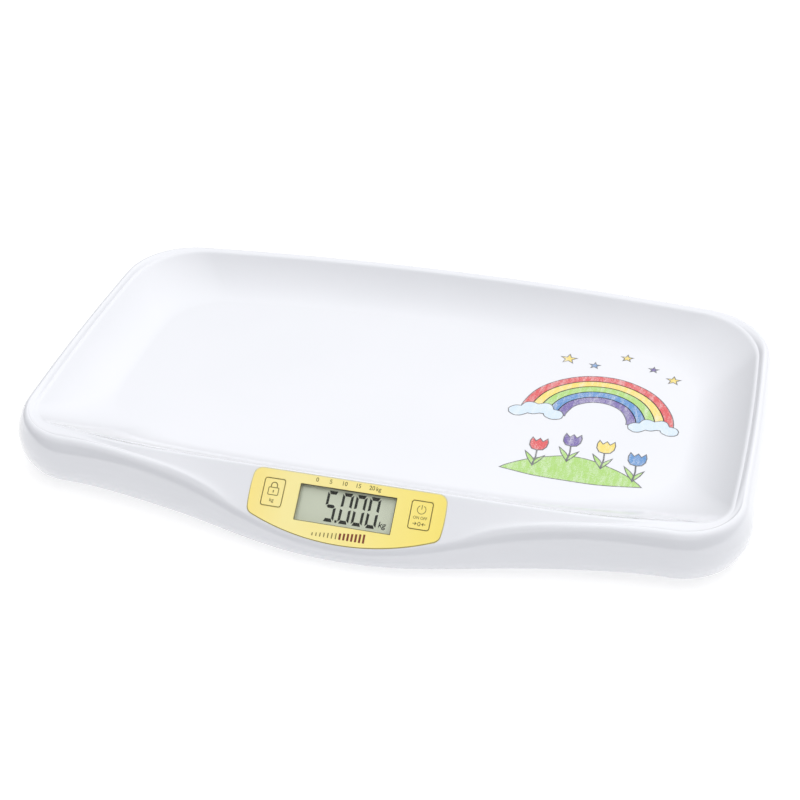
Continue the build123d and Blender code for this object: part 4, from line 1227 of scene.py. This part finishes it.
def print_keys():
    x, drop = KEY_PLACES["hold_key"]
    signs = key_frame((x, drop)) + padlock_sign((x, drop + PADLOCK_DROP))
    print_on("hold_key_print", signs, olive_ink, "hold_key")
    x, drop = KEY_PLACES["power_key"]
    signs = key_frame((x, drop)) + power_sign((x, drop + POWER_DROP)) + zero_sign((x, drop + ZERO_DROP))
    print_on("power_key_print", signs, olive_ink, "power_key")
    print("key signs printed")


print_keys()

# %% [markdown]
# The range of the scale stands over the window, in plain numerals, and ON and OFF on their key.
# Blender's own letters are turned into a mesh and laid on the facet, a hair proud of the film.

# %% Lettering
CAPITAL_SHARE = 0.72  # height of a capital as a share of the size of the letters
THICKENING = 0.02
RANGE_END = 20
RANGE_STEP = 5
RANGE_START = -23.8
RANGE_PITCH = 2.0  # millimetres for each kilogram
RANGE_DROP = 4.7
RANGE_HEIGHT = 3.1


def lettering(name, words, place, height, finish, body="scale", depth=INK_TOP, slant=0.0):
    """Words laid on the facet, centred on a place, with capitals of a given height."""
    curve = bpy.data.curves.new(name, "FONT")
    curve.body = words
    curve.align_x = "CENTER"
    curve.align_y = "CENTER"
    curve.size = height / CAPITAL_SHARE * MM
    curve.extrude = (INK_FOOT - INK_TOP) / 2 * MM
    curve.offset = height * THICKENING * MM
    curve.shear = slant
    curve.resolution_u = 6
    words_object = bpy.data.objects.new(name, curve)
    bpy.context.scene.collection.objects.link(words_object)
    bpy.context.view_layer.update()
    shape = words_object.evaluated_get(bpy.context.evaluated_depsgraph_get())
    mesh = bpy.data.meshes.new_from_object(shape)
    bpy.data.objects.remove(words_object)
    centre = on_facet([place], depth + (INK_FOOT - INK_TOP) / 2)[0]
    axes = Matrix(((1, 0, 0), tuple(-FACET_DOWN), tuple(-FACET_IN))).transposed().to_4x4()
    axes.translation = Vector(centre * MM)
    mesh.transform(axes)
    piece = bpy.data.objects.new(name, mesh)
    bpy.context.scene.collection.objects.link(piece)
    return finished(piece, finish, body)


def letter_facia():
    for number in range(0, RANGE_END + 1, RANGE_STEP):
        place = (number * RANGE_PITCH + RANGE_START, RANGE_DROP)
        lettering("range_numeral_" + str(number), str(number), place, RANGE_HEIGHT, olive_ink)
    lettering("range_unit", "kg", (21.0, 4.9), 3.0, olive_ink)
    x, _ = KEY_PLACES["hold_key"]
    lettering("hold_key_unit", "kg", (x, 24.2), 2.6, olive_ink, "hold_key")
    x, _ = KEY_PLACES["power_key"]
    lettering("power_key_words", "ON OFF", (x, 20.4), 2.0, olive_ink, "power_key")
    print("lettering laid on")


letter_facia()

# %% [markdown]
# Under the window a row of bars grows from thin and low to bold and high: a plain sign for weight. It
# is printed in two passes, olive for the thin ones and rust for the bold ones.

# %% Row of bars
BAR_COUNT = 14
BAR_START = -19.5
BAR_PITCH = 2.85
BAR_FOOT = 44.4
BAR_HEIGHTS = (2.2, 6.4)
THIN_BAR = 0.8
BOLD_BAR = 1.5


def make_bars():
    thin, bold = [], []
    for step in range(BAR_COUNT):
        share = step / (BAR_COUNT - 1)
        height = mixed(*BAR_HEIGHTS, share)
        place = (BAR_START + step * BAR_PITCH, BAR_FOOT - height / 2)
        row, width = (thin, THIN_BAR) if share < 0.5 else (bold, BOLD_BAR)
        row.append(ink_shape(rectangle(place, (width, height))))
    print_on("thin_bars", thin, olive_ink)
    print_on("bold_bars", bold, rust_ink)
    print("bars:", len(thin), "thin and", len(bold), "bold")


make_bars()

# %% [markdown]
# The display shows a weight in seven-segment numerals that lean a little. Segments are bars with
# slanting ends, so that neighbours meet in thin light gaps. They lie on the front of the glass.

# %% Numerals of the display
GLASS_FRONT = 3.65
DIGIT_HALF_WIDTH = 4.0
DIGIT_HALF_HEIGHT = 11.2
LEVEL_STROKE = 2.5
UPRIGHT_STROKE = 1.9
SEGMENT_GAP = 0.2
SEGMENT_TIP = 0.6
CORNER_CUT = 0.9
DIGIT_LEAN = 0.02
# Each digit and its middle
DIGITS = (("5", -11.4), ("0", -0.4), ("0", 9.4), ("0", 19.4))
DIGIT_MIDDLE = 21.3
DECIMAL_POINT = (-5.8, 31.4)
DECIMAL_SIZE = (1.6, 1.9)
READING_TOP = -0.04
SEGMENTS = {"0": "abcdef", "5": "afgcd"}


def segment_outlines():
    """Outlines of the seven segments, named in the usual way, about the middle of the digit."""
    half, top = DIGIT_HALF_WIDTH, DIGIT_HALF_HEIGHT
    inner = half - UPRIGHT_STROKE
    level = LEVEL_STROKE - top
    upper = [(CORNER_CUT - half, -top), (half - CORNER_CUT, -top), (inner, level), (-inner, level)]
    right = [
        (half, CORNER_CUT + SEGMENT_GAP - top),
        (half, -SEGMENT_TIP),
        (inner, -LEVEL_STROKE / 2 - SEGMENT_GAP),
        (inner + SEGMENT_GAP / 2, level + SEGMENT_GAP),
    ]
    reach, rise = half - CORNER_CUT, LEVEL_STROKE / 2
    side = reach - rise
    middle = [(-reach, 0), (-side, -rise), (side, -rise), (reach, 0), (side, rise), (-side, rise)]
    upper, right, middle = np.array(upper), np.array(right), np.array(middle)
    across, down = np.array([-1, 1]), np.array([1, -1])
    return {
        "a": upper,
        "b": right,
        "c": right * down,
        "d": upper * down,
        "e": -right,
        "f": right * across,
        "g": middle,
    }


def make_reading():
    outlines = segment_outlines()
    bars = [np.array(rectangle(DECIMAL_POINT, DECIMAL_SIZE))]
    for digit, across in DIGITS:
        for segment in SEGMENTS[digit]:
            outline = outlines[segment].copy()
            outline[:, 0] -= outline[:, 1] * DIGIT_LEAN
            bars.append(moved(outline, (across, DIGIT_MIDDLE)))
    top, foot = GLASS_FRONT + READING_TOP, GLASS_FRONT + INK_FOOT
    forms = [ink_shape(outline, top, foot) for outline in bars]
    print_on("display_reading", forms, segment_ink)
    depth = GLASS_FRONT + INK_TOP
    lettering("display_unit", "kg", (27.4, 28.9), 4.3, segment_ink, depth=depth, slant=0.1)
    print("segments:", len(bars))


make_reading()

# %% [markdown]
# The picture on the tray floor is printed in coloured pencil style: flat colours with a paper grain
# that lets the white shine through, and grey outlines. It shows a rainbow over a flowery hill.


# %% Pencil colours
def pencil(name, code, cover=1.0):
    """Pencil strokes: fine grain and slanting streaks let the white below show."""
    finish = Finish(name)
    grain = finish.noise(1500.0, 4.0)
    streaks = finish.noise(260.0, 2.0, (1.0, 0.25, 1.0))
    share = (grain * 0.9 + streaks * 0.7 + (cover - 1.25)) * 1.6
    cloudy = finish.blend(streaks, rgb(code), tuple(part**0.75 for part in rgb(code)[:3]) + (1,))
    finish.color(finish.blend(1.0 - share, cloudy, rgb("f4f4f4")))
    finish.rough(finish.noise(500.0) * 0.1 + 0.32)
    return finish.bumps(grain, INK_GRAIN)


pencils = {
    "red": pencil("pencil_red", "d23c40"),
    "yellow": pencil("pencil_yellow", "ecd05a"),
    "green": pencil("pencil_green", "98c95a"),
    "blue": pencil("pencil_blue", "3f7cc0"),
    "purple": pencil("pencil_purple", "5f4c98"),
    "sky": pencil("pencil_sky", "c9dcee"),
    "grey": pencil("pencil_grey", "55575c", 1.1),
}
print("pencils:", sorted(pencils))

# %% [markdown]
# Shapes of the picture are outlines on the level of the floor, which the whole picture is scaled and
# shifted to fit. A little wobble keeps them hand-drawn. Each colour is one piece, laid up to two tenths
# of a millimetre over the floor, and the pencil outlines lie on top of their shapes.

# %% Sizes of the picture
PRINT_FOOT = FLOOR - 0.05
LAYER = 0.03
LINE_WIDTH = 0.75
PICTURE_SCALE = 0.95
PICTURE_SHIFT = np.array([-2.0, -5.0])
RAINBOW = (160.0, 18.0)
RAINBOW_SIZES = (62.0, 54.5, 47.0, 39.5, 32.0, 24.5)
RAINBOW_COLORS = ("red", "yellow", "green", "blue", "purple")
# Middle and size of each cloud
CLOUDS = (((112.0, 16.0), 15.0), ((207.0, 15.0), 13.5))
# Colour, middle and size of each star
STARS = (
    ("yellow", 124.0, 100.0, 7.0),
    ("blue", 147.0, 95.0, 4.6),
    ("yellow", 172.0, 112.0, 5.2),
    ("purple", 196.0, 100.0, 4.2),
    ("yellow", 214.0, 88.0, 6.0),
)
# Left and right end of the hill, its base and its height
HILL = (98.0, 208.0, -60.0, 26.0)
# Colour and middle of each flower
FLOWERS = (("red", 122.0, -24.0), ("purple", 147.0, -13.0), ("yellow", 174.0, -16.0), ("blue", 200.0, -26.0))
FLOWER_SIZE = 8.0
STEM_TOP = 7.5
STEM_BEND = (0.7, 16.0)
STEM_FOOT = 28.0
STEM_WIDTH = 1.2
print("the picture has", len(STARS), "stars and", len(FLOWERS), "flowers")

# %% [markdown]
# Each kind of shape has its own outline: puffs make a cloud, half rings make the rainbow, and a sine
# curve makes the hill. The outlines are drawn about their middle and then put in their place.


# %% Outlines of the picture
def wobbled(points, amount=0.35):
    """The points moved a little, by waves that run along the outline."""
    points = np.asarray(points, float)
    order = np.arange(len(points))
    drift = np.column_stack([np.sin(order * 0.23) + np.sin(order * 0.61), np.cos(order * 0.31)])
    return points + drift * amount


def cloud(centre, size):
    """Outline of a cloud: the upper edge of a few round puffs over a flatter belly."""
    puffs = ((-1.0, 0.0, 0.55), (-0.35, 0.35, 0.62), (0.35, 0.45, 0.58), (0.95, 0.05, 0.52))
    xs = np.linspace(-1.54, 1.46, 61)
    tops = np.full(len(xs), -0.1)
    bottoms = np.full(len(xs), 0.1)
    for x, y, radius in puffs:
        reach = np.sqrt(np.clip(radius**2 - (xs - x) ** 2, 0, None))
        inside = reach > 0
        tops[inside] = np.maximum(tops[inside], (y + reach)[inside])
        bottoms[inside] = np.minimum(bottoms[inside], (y - reach * 0.7)[inside])
    bottoms = np.clip(bottoms, -0.38, None)
    upper = np.column_stack([xs, tops])
    lower = np.column_stack([xs, bottoms])[::-1][1:-1]
    return np.array(centre) + size * np.vstack([upper, lower])


def star(centre, size):
    """Five points and the five notches between them."""
    corners = np.arange(10)
    angles = pi / 2 + corners * pi / 5
    reach = np.where(corners % 2 == 0, 1.0, 0.42) * size
    return np.array(centre) + np.column_stack([np.cos(angles), np.sin(angles)]) * reach[:, None]


def band(outer_size, inner_size):
    outside = quarter(RAINBOW, outer_size, 0, 180, 48)
    inside = quarter(RAINBOW, inner_size, 180, -180, 48)
    return np.vstack([outside, inside])


def hill(left, right, base, height):
    """A round back over a shallow belly."""
    xs = np.linspace(left, right, 41)
    share = (xs - left) / (right - left)
    tops = base + height * np.sin(pi * share) ** 0.8
    bottoms = base - 5.0 * np.sin(pi * share)
    return np.vstack([np.column_stack([xs, tops]), np.column_stack([xs, bottoms])[::-1][1:-1]])


def tulip(centre, size):
    half = np.array([(0, -1), (0.55, -0.85), (0.85, -0.3), (0.9, 0.4), (0.75, 1.0), (0.35, 0.45), (0, 0.95)])
    left = half[-2:0:-1] * np.array([-1, 1])
    return np.array(centre) + size * np.vstack([half, left])


def leaf(root, lean, size):
    """A spine that leans over, with a width that swells in the middle."""
    share = np.linspace(0, 1, 13)
    spine = np.column_stack([lean * share**1.5, share]) * size
    width = np.column_stack([np.sin(pi * share) * 0.13 * size, np.zeros(13)])
    return np.array(root) + np.vstack([spine + width, (spine - width)[::-1][1:-1]])


print("outline points of a cloud:", len(cloud((0, 0), 1)))

# %% [markdown]
# The shapes are laid down in layers, from the hill up to the flowers. Each shape leaves its colour in
# one piece per pencil, and a thin grey line round it in another.


# %% Picture
def picture_shapes():
    """Colour, layer and outline of each shape. A higher layer covers a lower one."""
    shapes = []
    for color, outer_size, inner_size in zip(RAINBOW_COLORS, RAINBOW_SIZES, RAINBOW_SIZES[1:]):
        shapes.append((color, 0, wobbled(band(outer_size, inner_size), 0.2)))
    for spot, size in CLOUDS:
        shapes.append(("sky", 1, wobbled(cloud(spot, size))))
    for color, x, y, size in STARS:
        shapes.append((color, 0, star((x, y), size)))
    shapes.append(("green", 0, wobbled(hill(*HILL))))
    for color, x, y in FLOWERS:
        shapes.append(("green", 1, leaf((x, y - STEM_FOOT), -0.5, 17.0)))
        shapes.append(("green", 2, leaf((x, y - STEM_FOOT), 0.5, 14.0)))
        shapes.append((color, 2, tulip((x, y), FLOWER_SIZE)))
    return shapes


def level_tube(outline, width, top):
    left, right = stroke(outline, width, closed=True)
    rows = []
    for line, height in ((left, PRINT_FOOT), (left, top), (right, top), (right, PRINT_FOOT)):
        rows.append(np.column_stack([line, np.full(len(line), height)]))
    return tube(rows)


def fitted(outline):
    return outline * PICTURE_SCALE + PICTURE_SHIFT


def stem(x, y):
    across, bend = STEM_BEND
    spine = np.array([(x, y - STEM_TOP), (x + across, y - bend), (x, y - STEM_FOOT)])
    left, right = stroke(fitted(spine), STEM_WIDTH)
    return level_prism(np.vstack([left, right[::-1]]), PRINT_FOOT, FLOOR + 7 * LAYER)


def make_picture():
    fills = {color: [] for color in pencils}
    lines = []
    for color, layer, outline in picture_shapes():
        outline = fitted(outline)
        top = FLOOR + LAYER * (2 * layer + 1)
        fills[color].append(level_prism(outline, PRINT_FOOT, top))
        lines.append(level_tube(outline, LINE_WIDTH, top + LAYER))
    lines += [stem(x, y) for _, x, y in FLOWERS]
    for color, forms in fills.items():
        if forms:
            finished(mesh_object("picture_" + color, *together(forms)), pencils[color])
    finished(mesh_object("picture_lines", *together(lines)), pencils["grey"])
    print("outlines drawn:", len(lines))


make_picture()

# %% [markdown]
# The scale stands on a light table inside a light tent. The floor is plain pale grey and glows, so it
# comes out white, with only a soft shadow under the tray. The tent is the world: a faint even light,
# plus soft lobes that brighten it towards a few directions, so that the gloss shows no hard edge of
# any lamp. Two long strip lights in front help the creases to shine. The camera itself sees white
# behind all. The light is neutral, so the plastic keeps its own cool white.

# %% Floor and light
FLOOR_HALF = 4.0
FLOOR_GLOW = 0.58
EVEN_LIGHT = 0.02
LOBE_SHARPNESS = 2.0
BACKDROP = 1.0  # added to what the camera sees of the tent, and to nothing else
# Name of the side, its direction and the strength of its light
LOBES = (
    ("top", (0.0, 0.0, 1.0), 1.54),
    ("rear", (0.0, 1.0, 0.35), 0.32),
    ("rear_left", (-0.7, 0.7, 0.5), 0.12),
    ("rear_right", (0.7, 0.7, 0.5), 0.85),
    ("front", (0.0, -1.0, 0.35), 0.1),
)
# Name, place in metres, length and height in metres, watts
STRIPS = (
    ("left_strip", (-1.259, -1.867, 1.3), (2.6, 0.3), 1.0),
    ("right_strip", (1.057, -1.988, 1.3), (2.0, 0.3), 1.5),
)


def make_floor():
    finish = Finish("studio_floor", roughness=0.9, emission_strength=FLOOR_GLOW)
    finish.color(finish.blend(finish.noise(6.0), rgb("c0c0c0"), rgb("bcbcbc")))
    half = FLOOR_HALF / MM
    corners = [(-half, -half, 0), (half, -half, 0), (half, half, 0), (-half, half, 0)]
    floor = mesh_object("studio_floor", corners, [(0, 1, 2, 3)])
    floor.data.materials.append(finish.material)


def make_tent():
    tent = Tent("light_tent")
    look = tent.wire(tent.node("ShaderNodeTexCoord"), "Generated")
    seen = tent.wire(tent.node("ShaderNodeLightPath"), "Is Camera Ray")
    light = seen * BACKDROP + EVEN_LIGHT
    for _, direction, strength in LOBES:
        sockets = {0: look, 1: Vector(direction).normalized()}
        facing = tent.node("ShaderNodeVectorMath", {"operation": "DOT_PRODUCT"}, sockets)
        lobe = look.maths("MAXIMUM", tent.wire(facing, "Value"), 0.0) ** LOBE_SHARPNESS
        light = light + lobe * strength
    tent.plug(tent.shader.inputs["Color"], rgb("ffffff"))
    tent.plug(tent.shader.inputs["Strength"], light)
    bpy.context.scene.world = tent.world
    print("tent lobes:", [name for name, _, _ in LOBES])


def strip_light(name, place, size, power):
    data = bpy.data.lights.new(name, "AREA")
    data.shape = "RECTANGLE"
    data.size, data.size_y = size
    data.energy = power
    light = bpy.data.objects.new(name, data)
    light.location = place
    light.rotation_euler = (-Vector(place)).to_track_quat("-Z", "Y").to_euler()
    bpy.context.scene.collection.objects.link(light)


def make_studio():
    make_tent()
    for strip in STRIPS:
        strip_light(*strip)
    bpy.context.scene.view_settings.view_transform = "Standard"
    print("studio lit")


make_floor()
make_studio()
